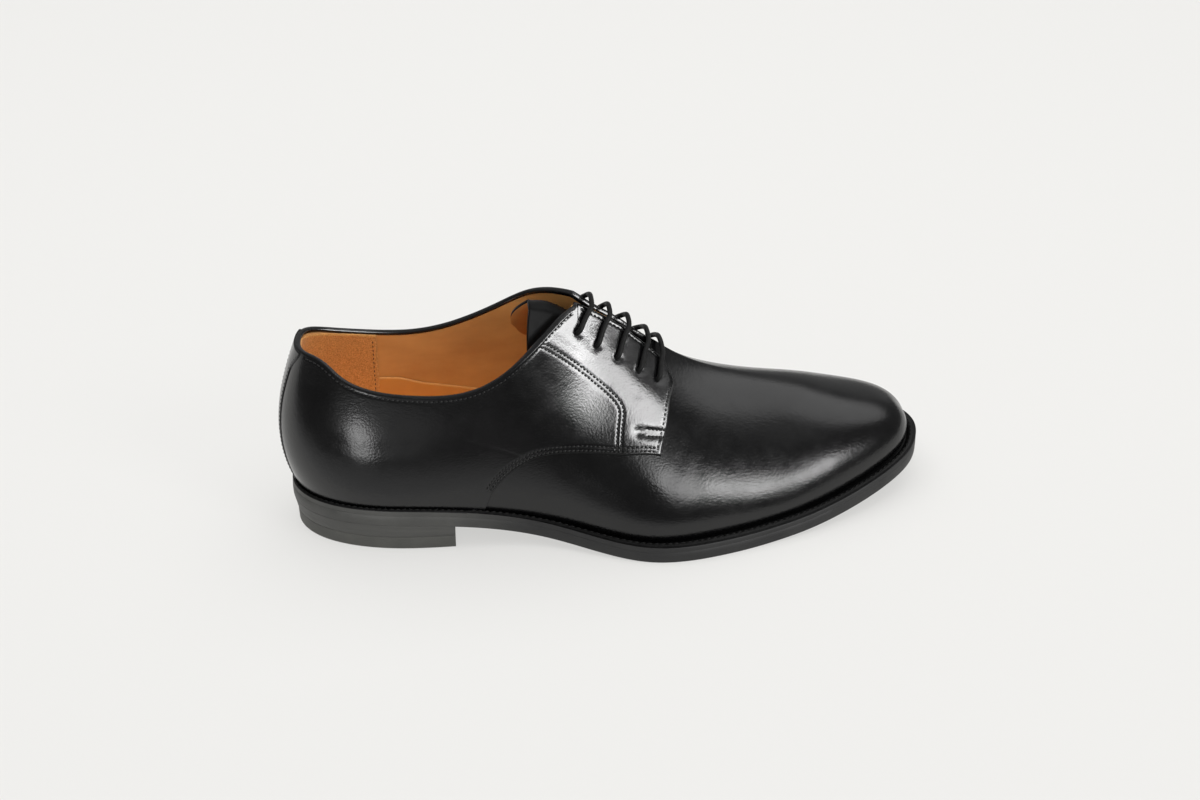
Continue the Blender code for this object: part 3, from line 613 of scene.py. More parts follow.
studio = {
    # pale floor that glows like a light table, so that its shadows stay faint
    "floorColour": (0.190, 0.188, 0.183), "floorGlow": (1.0, 0.995, 0.975), "glow": 0.58,
    "floorSize": 6.0, "floorDrop": 0.0002,
    "world": (1.0, 1.0, 0.99), "worldStrength": 0.50, "worldInGloss": 0.16,
    "shoe": (0.0, 0.0, 0.04), "heelSide": (-0.12, -0.03, 0.065),
    # softboxes: what they face, azimuth and height seen from there in degrees, distance and sides in metres,
    # radiance, and whether they are seen in reflections, on matt surfaces or on the quarters alone
    "lights": (
        ("key", "shoe", -43, 23, 3.0, 0.48, 0.48, 46.0, "gloss"),
        ("keyShade", "shoe", -45, 33, 3.0, 0.84, 0.84, 7.0, "matt"),
        ("side", "shoe", -65, 26, 3.0, 0.84, 0.50, 24.0, "gloss"),
        ("facing", "shoe", -48, 35, 3.0, 1.30, 0.95, 44.0, "quarters"),
        ("facingTop", "shoe", -20, 20, 3.0, 1.05, 0.80, 58.0, "quarters"),
        ("heelCard", "heelSide", -112, -17, 0.12, 0.020, 0.026, 26.0, "gloss"),
        ("heelSheen", "heelSide", -102, -10, 0.16, 0.100, 0.050, 1.6, "gloss"),
        ("back", "shoe", 24, 53, 3.0, 1.30, 1.25, 5.0, "gloss"),
        ("backLow", "shoe", 90, 20, 3.0, 3.20, 1.40, 0.7, "gloss"),
        ("top", "shoe", 90, 80, 1.6, 2.4, 2.4, 2.5, "matt"),
        ("topGloss", "shoe", 90, 78, 1.6, 2.2, 2.0, 1.0, "gloss"),
    ),
    # each softbox is seen as boxes in one another, so that its edge is soft
    "nest": {"gloss": (1.70, 1.25, 0.85, 0.45), "quarters": (1.35, 1.0, 0.65), "matt": (1.0,)},
    # painted shade: a dark sheet before the shoe, seen in reflections alone, light at its edge and darker
    # away from it, that paints the shaded floor before the shoe into the leather's reflections; its edge, the
    # edge's width and turn, its colours
    "shadeSheetEdge": -0.10, "shadeSheetFade": 0.09, "shadeSheetTurn": -20.0, "shadeSheetLight": 0.56, "shadeSheetDark": 0.10,
    "shadeSheetSize": 3.0, "shadeSheetLift": 0.0004,
}


quartersOnly = bpy.data.collections.new("quartersOnly")


def addPlane(name, finish, size, place, turn=0.0):
    bpy.ops.mesh.primitive_plane_add(size=size, location=place, rotation=(0, 0, turn))
    plane = bpy.context.object
    plane.name = name
    material = bpy.data.materials.new(finish)
    material.use_nodes = True
    plane.data.materials.append(material)
    return plane, material.node_tree


# Painted shade in reflections: a sheet seen only by glossy rays, its colour fading from light at its edge to
# dark, stands in for the shaded floor before the shoe
def addShadeSheet():
    size, turn = studio["shadeSheetSize"], math.radians(studio["shadeSheetTurn"])
    middle = (math.sin(turn) * size / 2, studio["shadeSheetEdge"] - math.cos(turn) * size / 2, studio["shadeSheetLift"])
    shadeSheet, tree = addPlane("paintedShadeSheet", "paintedShadeSheet", size, middle, turn)
    across = addNode(tree, "ShaderNodeSeparateXYZ", {"Vector": objectPlace(tree)}).outputs["Y"]
    shade = addNode(tree, "ShaderNodeMapRange", {
        "From Min": size / 2, "From Max": size / 2 - studio["shadeSheetFade"],
        "To Min": studio["shadeSheetLight"], "To Max": studio["shadeSheetDark"], "Value": across,
    }).outputs["Result"]
    shader = tree.nodes["Principled BSDF"]
    feed(tree, shader, {"Base Color": shade, "Roughness": 1.0, "Specular IOR Level": 0.0})
    shadeSheet.visible_camera = shadeSheet.visible_diffuse = shadeSheet.visible_shadow = False


def addStudio():
    floor, tree = addPlane("floor", "paleFloor", studio["floorSize"], (0, 0, -studio["floorDrop"]))
    feed(tree, tree.nodes["Principled BSDF"], {
        "Base Color": (*studio["floorColour"], 1.0), "Emission Color": (*studio["floorGlow"], 1.0),
        "Emission Strength": studio["glow"], "Roughness": 0.9, "Specular IOR Level": 0.1,
    })
    world = bpy.data.worlds.new("studio")
    bpy.context.scene.world = world
    world.use_nodes = True
    tree = world.node_tree
    glossy = tree.nodes.new("ShaderNodeLightPath").outputs["Is Glossy Ray"]
    strength = addNode(tree, "ShaderNodeMapRange", {
        "To Min": studio["worldStrength"], "To Max": studio["worldInGloss"], "Value": glossy,
    }).outputs["Result"]
    feed(tree, tree.nodes["Background"], {"Color": (*studio["world"], 1.0), "Strength": strength})
    for name, target, azimuth, height, distance, wide, tall, radiance, seen in studio["lights"]:
        a, h = math.radians(azimuth), math.radians(height)
        away = Vector((math.cos(h) * math.cos(a), math.cos(h) * math.sin(a), math.sin(h)))
        for share in studio["nest"][seen]:
            data = bpy.data.lights.new(name, "AREA")
            data.shape = "ELLIPSE" if seen == "gloss" else "RECTANGLE"
            data.size, data.size_y = wide * share, tall * share
            area = data.size * data.size_y * (math.pi / 4 if seen == "gloss" else 1.0)
            data.energy = radiance / len(studio["nest"][seen]) * math.pi * area
            lamp = bpy.data.objects.new(name, data)
            bpy.context.scene.collection.objects.link(lamp)
            lamp.location = away * distance + Vector(studio[target])
            lamp.rotation_euler = (-away).to_track_quat("-Z", "Y").to_euler()
            lamp.visible_camera = False
            lamp.visible_diffuse = seen == "matt"
            lamp.visible_glossy = seen != "matt"
            if seen == "quarters":
                lamp.light_linking.receiver_collection = quartersOnly
    addShadeSheet()
    bpy.context.scene.view_settings.view_transform = "Standard"


addCamera()
addStudio()
print("camera and studio ready")


# Vamp: from toe tip back under the quarters, both sides in one skin
vamp = {
    "back": 0.30, "throat": 0.612, "hidden": 0.555, "hiddenHeight": 0.52, "tuck": 1.6,
    "rows": 100, "longCells": 190, "toeCells": 70, "toeWay": 0.90, "nearTop": 0.998,
    # evening of the toe: from and to where along the last, up to what height it grows, passes, pull of each
    "toeFrom": 236.0, "toeTo": 268.0, "toeLow": 0.30, "passes": 240, "pull": 0.6,
    # soft creases: line of ways and heights, depth and half width in millimetres
    "creases": (
        (((0.6425, 0.62), (0.641, 0.47), (0.620, 0.325)), 0.09, 4.5),
        (((0.612, 0.50), (0.606, 0.42), (0.590, 0.34)), 0.07, 4.0),
        (((0.700, 0.60), (0.706, 0.46), (0.700, 0.34)), 0.06, 6.0),
    ),
}


# Line of ways and heights from a few knots
def spread(knots, count=160):
    knots = rounded(knots, 3)
    length = walked(knots)
    return tuple(valuesAt(np.linspace(0, length[-1], count), length, knots).T)


# Depth of soft creases at every point, on both sides of the shoe
def creaseDepth(creases, grid):
    depth = np.zeros(grid.shape[:-1])
    for knots, deep, half in creases:
        ways, heights = spread(knots)
        lines = [lastPoint(side * ways, heights) for side in (lateral, medial)]
        depth += deep * soft(distanceTo(lines, grid), half)
    return depth


# Evens out the toe: points move to the middle of their neighbours, then back out by the evened loss
def roundToe(points, faces, heights):
    along = ease((points[:, 0] - vamp["toeFrom"]) / (vamp["toeTo"] - vamp["toeFrom"]))
    share = (along * ease(heights / vamp["toeLow"]))[:, None]
    pairs = {tuple(sorted(pair)) for face in faces for pair in zip(face, face[1:] + face[:1])}
    edges = np.array(sorted(pairs))
    ends = np.concatenate([edges, edges[:, ::-1]])
    count = np.bincount(ends[:, 0], minlength=len(points))[:, None]

    def even(values):
        for _ in range(vamp["passes"]):
            total = np.stack([np.bincount(ends[:, 0], values[ends[:, 1], k], len(points))
                              for k in range(values.shape[1])], -1)
            values = values + vamp["pull"] * share * (total / count - values)
        return values

    moved = even(points)
    out = vertexNormals(moved, faces)
    loss = np.sum((points - moved) * out, -1, keepdims=True)
    return moved + out * even(loss)


def buildVamp():
    ways = np.concatenate([np.linspace(vamp["back"], vamp["toeWay"], vamp["longCells"]),
                           np.linspace(vamp["toeWay"], 1.0, vamp["toeCells"])[1:]])
    around = np.concatenate([ways, 2 - ways[-2::-1]])
    turns = (around + 1) % 2 - 1
    share = ease((np.abs(turns) - vamp["hidden"]) / (vamp["throat"] - vamp["hidden"]))
    tops = vamp["hiddenHeight"] + (1 - vamp["hiddenHeight"]) * share
    heights = np.linspace(0, 1, vamp["rows"])[None] * tops[:, None]
    turns = np.broadcast_to(turns[:, None], heights.shape)
    grid = lastPoint(turns, heights)
    grid = grid - lastNormal(turns, heights * vamp["nearTop"]) * creaseDepth(vamp["creases"], grid)[..., None]
    skirt = np.repeat(grid[:, :1], 2, 1) - np.array([[0, 0, vamp["tuck"]], [0, 0, vamp["tuck"] / 2]])
    grid = np.concatenate([skirt, grid], 1)
    heights = np.concatenate([np.zeros((len(heights), 2)), heights], 1)
    tagged = np.concatenate([grid, heights[..., None]], -1).reshape(-1, 4)
    points, faces = weld(tagged, gridFaces(*grid.shape[:2]))
    points = roundToe(points[:, :3], faces, points[:, 3])
    addPiece("vamp", points, faces, [paints["polishedLeather"]], ("upper",))


buildVamp()


# Seams: rows of stitches on the upper as lines of turns and heights
seams = {
    "fine": {"pitch": 1.95, "length": 1.60, "radius": 0.46, "lift": 0.26, "dip": 0.46},
    "edge": {"pitch": 2.2, "length": 1.75, "radius": 0.37, "lift": 0.18, "dip": 0.38},
    "strip": {"pitch": 2.2, "length": 1.6, "radius": 0.24, "lift": -0.02, "dip": 0.25},
    "welt": {"pitch": 3.1, "length": 2.7, "radius": 0.42, "lift": 0.10, "dip": 0.35, "lean": 8.0},
    "rand": {"pitch": 2.9, "length": 2.4, "radius": 0.36, "lift": 0.08, "dip": 0.30, "lean": 8.0},
    "grip": {"pitch": 2.6, "length": 1.7, "radius": 0.22, "lift": 0.05, "dip": 0.25},
    "eyestay": ((0.430, 0.754), (0.463, 0.700), (0.497, 0.650), (0.524, 0.612), (0.5375, 0.582),
                (0.5380, 0.550), (0.532, 0.500), (0.523, 0.405)),
    "tacks": (((0.570, 0.527), (0.596, 0.545)), ((0.5680, 0.499), (0.594, 0.519))),
    "doubleGap": 2.0, "lowInsets": (1.5, 3.4), "frontInset": 2.2, "rimInset": 2.4, "stripInset": 1.3,
    # where rows start and end, in ways or heights
    "rimFrom": 0.045, "rimEnd": 0.008, "cornerGap": 5, "frontSpan": (0.46, 0.845), "lowSpan": (0.336, 0.574),
    "stripLow": 0.02, "gripLow": 0.10, "belowRim": 0.05,
}


# Rim of a quarter as a line of turns and heights
def rimLine(side, us):
    heights = np.array([rimHeight(side, u) for u in us])
    return side * np.array([float(netWay(u, v)) for u, v in zip(us, heights)]), heights


def upperSeams(side):
    us = np.linspace(seams["rimFrom"], upper["frontWay"] - seams["rimEnd"], 300)
    turn, v = insetLine(*rimLine(side, us), -seams["rimInset"] * side)
    corner, gap = np.searchsorted(us, upper["cornerWay"]), seams["cornerGap"]
    edge = [(turn[:corner - gap], v[:corner - gap]), (turn[corner + gap:], v[corner + gap:])]
    heights = np.linspace(*seams["frontSpan"], 120)
    edge.append(insetLine(side * frontEdge(heights), heights, seams["frontInset"] * side))
    fine = []
    ways, heights = spread(seams["eyestay"])
    for offset in (-seams["doubleGap"] / 2, seams["doubleGap"] / 2):
        fine.append(insetLine(side * ways, heights, offset))
    ways = np.linspace(*seams["lowSpan"], 220)
    for inset in seams["lowInsets"]:
        fine.append(insetLine(side * ways, lowEdge(ways), inset * side))
    for tack in seams["tacks"]:
        ways, heights = spread(tack, 40)
        fine.append((side * ways, heights))
    return {"edge": edge, "fine": fine}


seamRows = {side: upperSeams(side) for side in (lateral, medial)}
print("seams drawn")


# Laces: one round cord, over each pair of eyelets on top and on under the facing
laces = {
    "radius": 1.15, "clear": 0.95, "edgeLift": 0.5, "step": 0.35, "sides": 20,
    "braid": 0.07, "braidPitch": 2.2, "strands": 4, "passes": 4,
    # shares of the way from eyelet to edge, and of the way under the facing, where the route is held
    "barStops": (0.35, 0.75), "underStops": (0.35, 0.65),
    # eyelets: way, height, way gained by the bar up to the ridge, rise of the bar over the gap
    "eyelets": ((0.489, 0.801, 0.020, 2.6), (0.517, 0.769, 0.020, 2.6), (0.545, 0.761, 0.019, 2.8),
                (0.573, 0.753, 0.018, 3.4), (0.598, 0.757, 0.012, 4.0)),
}


# Quarters: raised panels with rolled edges; the collar and the facing edge fold over to the inside
quarter = {
    "round": 1.0, "fold": 0.4, "foldLift": -2.12, "square": 2.6, "columns": 380, "rows": 130,
    "groove": 0.20, "grooveHalf": 0.60, "well": 0.6, "wellHalf": 2.0, "teeth": 2.2, "toothDepth": 0.5,
    "dressedRows": 4, "dressedColumns": 4, "thinnest": 0.02,
    "rimSteps": 11, "foldRows": (0.0, 0.4, 0.75, 1.0),
    # closer columns by the front edge, as multiples of one small way, and closer rows low down
    "frontBand": 0.010, "frontCell": 0.0038, "frontCells": (2.0, 1.4, 1.0, 0.7, 0.45, 0.25, 0.1, 0.0),
    "lowCells": (0.0, 0.1, 0.25, 0.5, 0.8, 1.2),
    # heights at which the front and the lower edge are read, and under which the lower edge stays square
    "frontAt": 0.6, "lowAt": 0.4, "rollFrom": 0.1,
    # soft creases: line of ways and heights, depth and half width in millimetres
    "creases": (
        (((0.455, 0.760), (0.500, 0.710), (0.550, 0.680), (0.600, 0.680)), -1.0, 13.0),
        (((0.440, 0.800), (0.4725, 0.742), (0.500, 0.706)), 0.10, 2.0),
        (((0.470, 0.830), (0.500, 0.790), (0.520, 0.740)), 0.12, 2.2),
        (((0.5175, 0.720), (0.540, 0.670), (0.560, 0.640)), 0.12, 2.5),
        (((0.558, 0.506), (0.578, 0.519), (0.592, 0.528)), 0.75, 2.6),
        (((0.300, 0.375), (0.340, 0.340), (0.380, 0.312)), 0.07, 0.7),
        (((0.120, 0.360), (0.170, 0.330), (0.220, 0.340)), 0.15, 5.0),
    ),
}


# Share of the full thickness at a distance from a rounded edge
def roll(distance, radius):
    share = np.clip(np.asarray(distance, float) / radius, 0, 1)
    return np.sqrt(1 - (1 - share) ** 2)


def quarterColumns():
    front = upper["frontWay"]
    close = np.array(quarter["frontCells"]) * quarter["frontCell"]
    return np.concatenate([np.linspace(0.0, front - quarter["frontBand"], quarter["columns"]), front - close])


def quarterGrid(side):
    us = quarterColumns()
    rimTurn, rimV = rimLine(side, us)
    rimPoint, normal = lastPoint(rimTurn, rimV), lastNormal(rimTurn, rimV)
    up = unit(np.cross(normal, unit(np.gradient(rimPoint, axis=0)) * side))
    at = quarter["frontAt"]
    ahead = float(frontEdge(at)) - np.array([float(netWay(u, at)) for u in us])
    frontRoll = roll(ahead * last["length"], quarter["round"])
    raiseRim = quarterRaise(rimTurn, rimV) * frontRoll
    half = (raiseRim - quarter["foldLift"]) / 2
    endTurn, endV = stepLine(rimTurn, rimV, -up * half[:, None])
    lowWay = np.array([float(netWay(u, quarter["lowAt"])) for u in us])
    lowV = lowEdge(lowWay)
    rolled = np.clip(lowV / quarter["rollFrom"], 0, 1)
    turns, heights, lifts = [], [], []
    for i, u in enumerate(us):
        length = np.linalg.norm(lastPoint(endTurn[i], endV[i]) - lastPoint(side * lowWay[i], lowV[i]))
        near = np.array(quarter["lowCells"]) / length
        shares = np.concatenate([near, np.linspace(near[-1], 1, quarter["rows"])[1:]])
        v = lowV[i] + (endV[i] - lowV[i]) * shares
        turns.append(side * netWay(u, v) + (endTurn[i] - side * float(netWay(u, endV[i]))) * shares ** 3)
        heights.append(v)
        lowRoll = roll(shares * length, quarter["round"])
        lifts.append(np.minimum(1 - (1 - lowRoll) * rolled[i], frontRoll[i]))
    turns, heights = np.array(turns), np.array(heights)
    skin, out = lastPoint(turns, heights), lastNormal(turns, heights)
    lines = [lastPoint(*line) for kind in ("edge", "fine") for line in seamRows[side][kind]]
    lift = quarterRaise(turns, heights) * np.array(lifts)
    lift -= quarter["groove"] * soft(distanceTo(lines, skin), quarter["grooveHalf"])
    holes = lastPoint(side * column(laces["eyelets"], 0), column(laces["eyelets"], 1))
    lift -= quarter["well"] * soft(distanceTo([holes], skin), quarter["wellHalf"])
    lift -= creaseDepth(quarter["creases"], skin)
    skin = skin + out * np.maximum(lift, quarter["thinnest"])[..., None]
    centre = rimPoint + normal * ((raiseRim + quarter["foldLift"]) / 2)[:, None] - up * half[:, None]
    tooth = 1 - np.abs(walked(rimPoint) / quarter["teeth"] % 1 * 2 - 1)
    turned = []
    for angle in np.linspace(0, math.pi, quarter["rimSteps"])[1:-1]:
        across = math.copysign(abs(math.cos(angle)) ** (2 / quarter["square"]), math.cos(angle))
        rise = math.sin(angle) ** (2 / quarter["square"])
        turned.append(centre + half[:, None] * (normal * across + up * rise))
    for down in quarter["foldRows"]:
        fold = quarter["fold"] * down - (quarter["toothDepth"] * tooth if down == 1.0 else 0)
        turned.append(centre - half[:, None] * normal - up * (fold + np.zeros(len(us)))[:, None])
    grid = np.concatenate([skin, np.stack(turned, 1)], 1)
    return grid if side == lateral else grid[::-1]


def buildQuarters():
    for side, name in ((lateral, "quarterLateral"), (medial, "quarterMedial")):
        grid = quarterGrid(side)
        points, faces = grid.reshape(-1, 3), gridFaces(*grid.shape[:2])
        dressed = np.zeros((grid.shape[0] - 1, grid.shape[1] - 1), int)
        dressed[:, :quarter["dressedRows"]] = 1
        dressed[-quarter["dressedColumns"]:] = 1
        paint = (dressed if side == lateral else dressed[::-1]).reshape(-1)
        leathers = [paints["polishedLeather"], paints["cutEdge"]]
        piece = addPiece(name, points, faces, leathers, ("upper",), paint=paint)
        quartersOnly.objects.link(piece)


buildQuarters()


# Back strip: narrow overlay down the heel back
strip = {"thick": 0.8, "round": 0.8, "cells": 22, "rows": 70, "lift": 1.1, "edgeLift": 0.35, "low": -0.02,
         "belowRim": 0.012, "wayShare": 0.95}


def buildStrip():
    rim = float(collarHeight[lateral](0.0))
    heights = np.linspace(strip["low"], rim - strip["belowRim"], strip["rows"])
    grid = []
    edge = stripEdge(heights)
    for s in np.linspace(-1, 1, 2 * strip["cells"] + 1):
        away = (1 - abs(s)) * edge * last["length"] * strip["wayShare"]
        lift = strip["lift"] * roll(away, strip["round"])
        grid.append(lifted(s * edge, heights, np.maximum(lift, strip["edgeLift"])))
    grid = np.array(grid)
    points, faces = thicken(grid.reshape(-1, 3), gridFaces(*grid.shape[:2]), strip["thick"])
    addPiece("backStrip", points, faces, [paints["polishedLeather"]], ("upper",))


buildStrip()


# Lining: tan leather inside, with a suede grip round the heel
lining = {"lift": -2.0, "thick": 0.5, "front": 0.80, "cells": 320, "rows": 54, "low": 0.01, "topInset": 1.0,
          "ribLength": 95.0, "highest": 0.985, "pastFront": 0.012}
grip = {"lift": -2.6, "thick": 0.5, "edge": 0.190, "cells": 110, "rows": 40, "low": 0.03, "topInset": 1.8,
        "seamInset": 0.006}


def rimOf(side, way):
    if way >= upper["frontWay"] + lining["pastFront"]:
        return lining["highest"]
    return min(rimHeight(side, min(way, upper["frontWay"])), lining["highest"])


def insideGrid(turns, look):
    grid = []
    for turn in turns:
        top = rimOf(lateral if turn >= 0 else medial, abs(turn)) - look["topInset"] / lining["ribLength"]
        heights = np.linspace(look["low"], top, look["rows"])
        grid.append(lifted(np.full(look["rows"], turn), heights, look["lift"]))
    return np.array(grid)


# Pale panel low inside: way, height of its upper edge
lowLining = {"lift": -2.5, "thick": 0.4, "front": 0.50, "cells": 200, "rows": 26, "low": 0.02,
             "edge": ((0.00, 0.345), (0.162, 0.340), (0.213, 0.335), (0.255, 0.305), (0.302, 0.295),
                      (0.50, 0.27))}


def addInside(name, grid, thick, finish):
    faces = [tuple(reversed(face)) for face in gridFaces(*grid.shape[:2])]
    points, faces = thicken(grid.reshape(-1, 3), faces, thick)
    addPiece(name, points, faces, [paints[finish]], ("upper",))


def buildLining():
    turns = np.linspace(-lining["front"], lining["front"], lining["cells"])
    addInside("lining", insideGrid(turns, lining), lining["thick"], "tanLining")
    turns = np.linspace(-grip["edge"], grip["edge"], grip["cells"])
    addInside("heelGrip", insideGrid(turns, grip), grip["thick"], "heelGrip")
    turns = np.linspace(-lowLining["front"], lowLining["front"], lowLining["cells"])
    edge = gentleCurve(lowLining["edge"])(np.abs(turns))
    heights = np.linspace(lowLining["low"], 1, lowLining["rows"])[None] * edge[:, None]
    grid = lifted(np.broadcast_to(turns[:, None], heights.shape), heights, lowLining["lift"])
    addInside("lowLining", grid, lowLining["thick"], "tanSock")


buildLining()


# Slabs under the foot: rows from side to side at each way, levels from top to bottom
def slab(ways, levels, cells, hollow=0.0, dome=0.0, edge=soleOutline):
    points, index = [], {}
    for k, (inset, height) in enumerate(levels):
        for i, way in enumerate(ways):
            a, b = edge(np.array(way), inset), edge(np.array(-way), inset)
            single = way in (0.0, 1.0)
            for c in range(cells + 1):
                if single and c > 0:
                    index[k, i, c] = index[k, i, 0]
                    continue
                s = c / cells
                plan = a * (1 - s) + b * s
                bow = 4 * s * (1 - s)
                plan[0] -= hollow * bow * (way / ways[-1]) ** 8
                rise = dome * bow ** 0.5 if k == 0 else 0.0
                index[k, i, c] = len(points)
                points.append([*plan, float(height(plan[0])) + rise])
    faces = []

    def add(*keys):
        face = tuple(dict.fromkeys(index[key] for key in keys))
        if len(face) > 2:
            faces.append(face)

    lastWay, bottom = len(ways) - 1, len(levels) - 1
    for i in range(lastWay):
        for c in range(cells):
            add((0, i, c), (0, i, c + 1), (0, i + 1, c + 1), (0, i + 1, c))
            add((bottom, i, c), (bottom, i + 1, c), (bottom, i + 1, c + 1), (bottom, i, c + 1))
        for k in range(bottom):
            add((k, i, 0), (k, i + 1, 0), (k + 1, i + 1, 0), (k + 1, i, 0))
            add((k, i, cells), (k + 1, i, cells), (k + 1, i + 1, cells), (k, i + 1, cells))
    if ways[lastWay] < 1.0:
        for k in range(bottom):
            for c in range(cells):
                n = k + 1
                add((k, lastWay, c), (k, lastWay, c + 1), (n, lastWay, c + 1), (n, lastWay, c))
    return points, faces


def below(drop):
    def height(x):
        return soleTop(x) - drop

    return height


def level(z):
    def height(_):
        return z

    return height


# Ways from heel to toe, closer together near both ends
closeWays = {"heel": 0.1, "toe": 0.9, "toeMore": 10}


def longWays(ends, middle):
    heelEnd, toeStart = closeWays["heel"], closeWays["toe"]
    return np.concatenate([np.linspace(0, heelEnd, ends), np.linspace(heelEnd, toeStart, middle)[1:],
                           np.linspace(toeStart, 1, ends + closeWays["toeMore"])[1:]])


# Outsole: edge with a small bevel above and below
outsole = {"cells": 16, "ends": 36, "middle": 130, "topBevel": 0.25, "bevel": 0.15, "bevelShare": 0.35,
           "swell": 0.08, "swellDrop": 2.6}


def buildOutsole():
    top, bottom = last["weltThick"], last["weltThick"] + last["outsoleThick"]
    above, under = outsole["topBevel"], outsole["bevel"]
    part = under * outsole["bevelShare"]
    levels = [(above, below(top)), (0.0, below(top + above)),
              (-outsole["swell"], below(top + outsole["swellDrop"])),
              (0.0, below(bottom - under)), (part, below(bottom - part)), (under, below(bottom))]
    points, faces = slab(longWays(outsole["ends"], outsole["middle"]), levels, outsole["cells"])
    addPiece("outsole", points, faces, [paints["soleEdge"]], ("outsole",), sharp=45)


buildOutsole()


# Heel: stack of leather layers with a fine groove, and the rubber lift
heel = {
    "breastWay": 0.281, "hollow": 3.0, "cells": 24, "ways": 60, "bevel": 0.1,
    "stackInset": 0.05, "stackGap": 0.05, "stackBevel": 0.15,
    "groove": 0.02, "grooveHalf": 0.18, "layers": (10.4,),
    "liftThick": 6.6, "liftInset": 1.6, "liftGap": 0.15, "taper": 0.4, "footRise": 0.4, "footBevel": 0.25,
}


# Height of a heel layer, tilted like the seat above it
def layerHeight(z, seat, topDrop):
    def height(x):
        return (soleTop(x) - topDrop) * (z / seat)

    return height


def addHeelPiece(name, levels, finish, node):
    ways = np.linspace(0, heel["breastWay"], heel["ways"])
    points, faces = slab(ways, levels, heel["cells"], heel["hollow"])
    addPiece(name, points, faces, [paints[finish]], (node,), sharp=40)


def buildHeel():
    soleThick = last["weltThick"] + last["outsoleThick"]
    seat, topDrop = soleTop(0.0) - soleThick, soleThick + heel["stackGap"]
    low = heel["liftThick"] + heel["liftGap"]
    inset, liftInset, bevel = heel["stackInset"], heel["liftInset"], heel["bevel"]
    levels = [(inset + bevel, below(topDrop)), (inset, below(topDrop + heel["stackBevel"]))]
    for z in heel["layers"]:
        for step, depth in ((1, 0.0), (0, heel["groove"]), (-1, 0.0)):
            at = z + step * heel["grooveHalf"]
            drawnIn = inset + (liftInset - inset) * (seat - at) / (seat - low)
            levels.append((drawnIn + depth, layerHeight(at, seat, topDrop)))
    levels += [(liftInset, level(low + bevel)), (liftInset + bevel, level(low))]
    addHeelPiece("heelStack", levels, "heelLeather", "heel_stack")
    foot = liftInset + heel["taper"]
    levels = [(liftInset + bevel, level(heel["liftThick"] + bevel)), (liftInset, level(heel["liftThick"])),
              (foot - bevel, level(heel["footRise"])), (foot + heel["footBevel"], level(0.0))]
    addHeelPiece("heelLift", levels, "liftRubber", "heel_top_lift")


buildHeel()


# Sock: tan leather on the insole, up to the lining all round
sock = {"inset": 1.6, "top": 2.2, "gap": 0.1, "dome": 0.9, "cells": 30, "ends": 30, "middle": 110}


def insideFeather(turn, inset):
    return featherPlan(turn) - outward(turn) * inset


def buildSock():
    ways = longWays(sock["ends"], sock["middle"])
    levels = [(sock["inset"], below(-sock["top"])), (sock["inset"], below(last["weltThick"] - sock["gap"]))]
    points, faces = slab(ways, levels, sock["cells"], dome=sock["dome"], edge=insideFeather)
    addPiece("sock", points, faces, [paints["tanSock"]], ("insole",), sharp=50)


buildSock()


# Welt and heel rand: profiles swept along the sole's edge, as distance from the feather line and height
welt = {
    "end": 0.298, "cells": 700, "seam": (0.45, 0.10, 0), "seamCells": 900,
    # share of the reach, height against the welt's top, finish: 0 black top, 1 sole edge
    "profile": ((-3.0, -0.4, 0), (-0.6, -0.5, 0), (0.05, -1.0, 0), (0.16, -0.95, 0), (0.24, -0.30, 0),
                (0.32, 0.02, 0), (0.46, 0.10, 0), (0.58, 0.02, 0), (0.66, -0.30, 0), (0.72, -0.42, 0),
                (0.90, -0.42, 0), (0.97, -0.52, 1), (1.0, -0.75, 1), (1.0, -3.0, 1), (-3.0, -3.0, 1)),
}
rand = {
    "end": 0.298, "cells": 260, "inset": 0.1, "seam": (0.6, 0.03, 0), "seamCells": 400,
    "profile": ((-3.0, -0.4, 0), (-0.6, -0.5, 0), (0.05, -0.9, 0), (0.20, -0.7, 0), (0.36, -0.15, 0),
                (0.55, 0.05, 0), (0.80, -0.05, 0), (0.93, -0.30, 0), (0.99, -0.70, 1), (1.0, -1.0, 1),
                (1.0, -3.0, 1), (-3.0, -3.0, 1)),
}


def stripPoint(turn, profile, inset):
    way = np.abs(turn)
    reach = float(curves["edge", lateral if turn >= 0 else medial](way)) - inset
    place, out = featherPlan(np.array(turn)), outward(np.array(turn))
    ring = []
    for share, height, _ in profile:
        distance = share if share < 0 else share * reach
        plan = place + out * distance
        ring.append([*plan, float(soleTop(plan[0])) + height])
    return ring


def buildEdgeStrip(name, turns, profile, inset, slot):
    rings = np.array([stripPoint((turn + 1) % 2 - 1, profile, inset) for turn in turns])
    count, sides = rings.shape[:2]
    faces = [face[:1] + face[:0:-1] for face in tubeFaces(count, sides)]
    paint = [row[2] for row in profile] * (count - 1) + [0, 0]
    materials = [paints["weltTop"], paints["soleEdge"]]
    addPiece(name, rings.reshape(-1, 3), faces, materials, (slot,), paint=paint, sharp=60)


turns = np.linspace(welt["end"], 2 - welt["end"], welt["cells"])
buildEdgeStrip("welt", turns, welt["profile"], 0.0, "welt")
turns = np.linspace(-rand["end"], rand["end"], rand["cells"])
buildEdgeStrip("heelRand", turns, rand["profile"], rand["inset"], "heel_rand")


